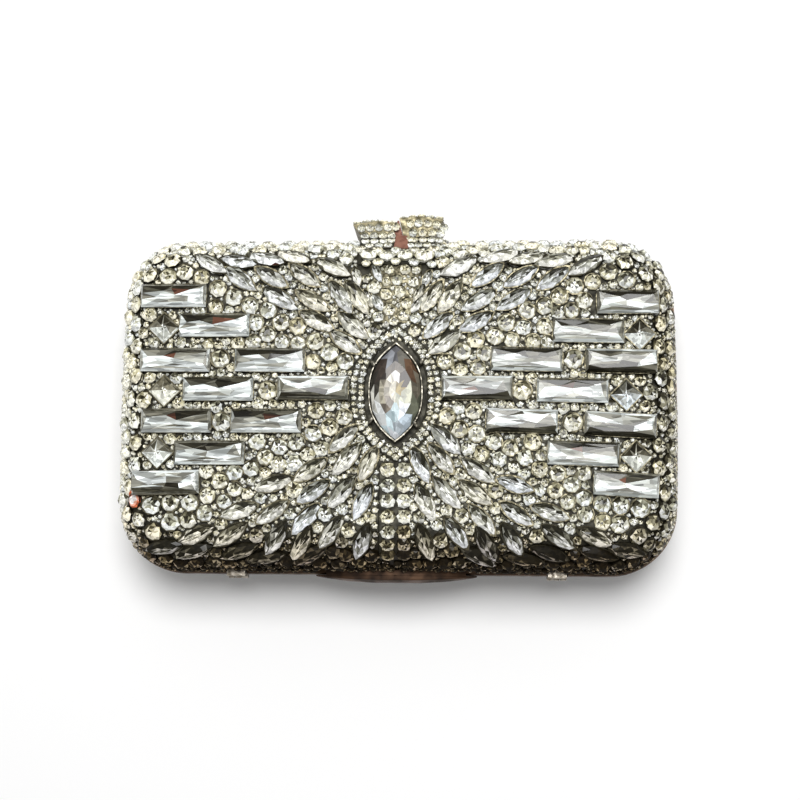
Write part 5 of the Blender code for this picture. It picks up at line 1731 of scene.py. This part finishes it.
def wedge_ring(corners):
    """Four corners from two (half width, way along) pairs, as (x, way along)."""
    (low_half, low), (high_half, high) = corners
    return np.array(((-low_half, low), (low_half, low), (high_half, high), (-high_half, high)))


apron_middle, apron_normal = band_at(np.linspace(APRON_START, APRON_LEAVE, APRON_STEPS))
lip = np.array(LIP_PLACE)
slope = lip - apron_middle[-1]
slope_normal = unit(np.array((0.0, -slope[2], slope[1])))
run_out = np.linspace(0, 1, LIP_STEPS)[1:, None]
apron_middle = np.concatenate((apron_middle, apron_middle[-1] + run_out * slope))
apron_normal = np.concatenate((apron_normal, np.tile(slope_normal, (len(run_out), 1))))
slope_foot = lip - slope


def slope_ring(flat, rise):
    """Flat (x, way along the slope) corners as places over the slope."""
    across = np.outer(flat[:, 0] + WEDGE_SHIFT, SIDEWAYS)
    return slope_foot + flat[:, 1:] * slope + rise * slope_normal + across


lip_middle = on_plane(LIP_PIXELS, lip + BAND_RISE * slope_normal, slope_normal)
blob_table = np.array(BLOB_PIXELS)
blob_middle = on_plane(blob_table[:, :2], lip + BLOB_RISE * slope_normal, slope_normal)
blob_middle = blob_middle - BLOB_SUNK * slope_normal
blob_radius = blob_table[:, 2] * ROUND_PIXEL
blob_size = blob_radius[:, None] * BLOB_SHAPE
lip_size = alike((LOBE_STONE, LOBE_STONE * STONE_OVAL, LIP_RISE), len(lip_middle))
blob_places = (blob_middle, alike(SIDEWAYS, len(blob_middle)), alike(slope_normal, len(blob_middle)))
lip_places = (lip_middle, alike(SIDEWAYS, len(lip_middle)), alike(slope_normal, len(lip_middle)))
trim_middle = slope_foot + np.array(TRIM_SPAN)[:, None] * slope
trim = strip_body(trim_middle, alike(slope_normal, 2), APRON_HALF * TRIM_SHARE, TRIM_RISE)
flat = wedge_ring(WEDGE_FOOT)
foot = loft(np.stack((slope_ring(flat, 0.0), slope_ring(flat, WEDGE_RISE))), capped=True)
for half, seed in (("front", 71), ("back", 72)):
    random = np.random.default_rng(seed)
    apron = strip_body(apron_middle, apron_normal, APRON_HALF, BAND_RISE)
    add_part("apron", half, apron, olive_and_shade, "pave_setting", f"{half}_clasp_base")
    add_part("apron_trim", half, trim, silver, "pave_setting")
    set_stones(
        f"{half}_apron_stones", half, round_cut, blob_places, blob_size, blob_radius[:, None],
        BLOB_CHANCES, random, pave_glass, "pave_setting",
    )
    set_stones(
        f"{half}_lip_stones", half, round_cut, lip_places, lip_size, LOBE_STONE, LOBE_CHANCES, random,
        pave_glass, "pave_setting",
    )
    add_part("wedge_foot", half, foot, copper, "brass_frame")

flat = wedge_ring(WEDGE_BODY)
rings = np.stack([np.insert(flat, 2, height, axis=1) for height in WEDGE_LEVELS])
points, faces = loft(rings, capped=True)
wedge = add_surface("copper_wedge", in_half(points, "front"), faces, copper)
seat(wedge, "back_half", "brass_frame", "clasp_catch")

for node, body, hand in (("clasp_lever", "clasp_lever", 1), ("clasp_fixed_lobe", "back_half", -1)):
    low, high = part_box(node)
    random = np.random.default_rng(81 + hand)
    depth = (high.z - low.z) / 2
    face_middle = on_plane(LOBE_PIXELS[node], depth * np.array(LEVEL), np.array(LEVEL))
    face_middle[:, 1] = np.minimum(face_middle[:, 1], high.y - LOBE_STONE * LOBE_TOP)
    face_normal = alike(LEVEL, len(face_middle))
    across = hand * np.linspace(*LOBE_ACROSS, LOBE_COLUMNS)
    down = np.linspace(LOBE_EDGE - depth, depth - LOBE_EDGE, LOBE_ROWS)
    x, z = (grid.ravel() for grid in np.meshgrid(across, down))
    crown = high.y - LOBE_CROWN * np.abs(np.abs(x) - LOBE_MIDDLE) / LOBE_REACH
    middle = np.concatenate((face_middle, face_middle * (1, 1, -1), np.stack((x, crown, z), -1)))
    normal = np.concatenate((face_normal, -face_normal, alike(UPWARD, len(x))))
    size = alike((LOBE_STONE, LOBE_STONE * STONE_OVAL, LOBE_RISE), len(middle))
    places = (middle, alike(SIDEWAYS, len(middle)), normal)
    set_stones(
        f"{node}_stones", "front", round_cut, places, size, LOBE_STONE, LOBE_CHANCES, random, pave_glass,
        "pave_setting", body=body,
    )

# Floor, lamps and world. White card under the bag, one large soft lamp from beyond the clasp, and even
# light from all round, so that the shadow falls towards the lower edge.
FLOOR_HALF = 3.0
FLOOR_WHITE = 0.97
LAMP_SIZE = 0.45
LAMP_PLACE = (0.055, 0.225, 1.0)
LAMP_SHARE = 0.77
WORLD_SHARE = 0.39
FLOOR_CORNERS = ((-1, -1), (1, -1), (1, 1), (-1, 1))
FLOOR_FACE = (0, 1, 2, 3)

card, _, card_shader = new_finish("white_card", 0.9)
card_shader.inputs["Base Color"].default_value = (FLOOR_WHITE, FLOOR_WHITE, FLOOR_WHITE, 1)
floor_mesh = bpy.data.meshes.new("floor")
floor_places = [(FLOOR_HALF * x, FLOOR_HALF * y, 0) for x, y in FLOOR_CORNERS]
floor_mesh.from_pydata(floor_places, [], [FLOOR_FACE])
linked("floor", floor_mesh, card)

lamp_data = bpy.data.lights.new("soft_lamp", "AREA")
lamp_data.shape = "DISK"
lamp_data.size = LAMP_SIZE
lamp_reach = np.linalg.norm(np.array(LAMP_PLACE))
lamp_data.energy = LAMP_SHARE * math.pi**2 * lamp_reach**2 / (LAMP_PLACE[2] / lamp_reach)
lamp = bpy.data.objects.new("soft_lamp", lamp_data)
lamp_axis = unit(np.array(LAMP_PLACE) - (0, 0, mid_plane))
lamp_side = unit(np.cross(SIDEWAYS, lamp_axis))
lamp_axes = np.column_stack((np.cross(lamp_side, lamp_axis), lamp_side, lamp_axis))
lamp.matrix_world = Matrix(lamp_axes).to_4x4()
lamp.location = LAMP_PLACE
bpy.context.scene.collection.objects.link(lamp)

world = bpy.data.worlds.new("studio")
bpy.context.scene.world = world
world.use_nodes = True
sky = world.node_tree.nodes["Background"]
sky.inputs["Color"].default_value = (1, 1, 1, 1)
seen_by = new_node(world.node_tree, "LightPath")
brightness = new_node(world.node_tree, "MapRange", {"To Min": WORLD_SHARE, "To Max": 1.0})
wire(
    world.node_tree,
    (seen_by, "Is Camera Ray", brightness, "Value"),
    (brightness, "Result", sky, "Strength"),
)
bpy.context.scene.view_settings.view_transform = "Standard"
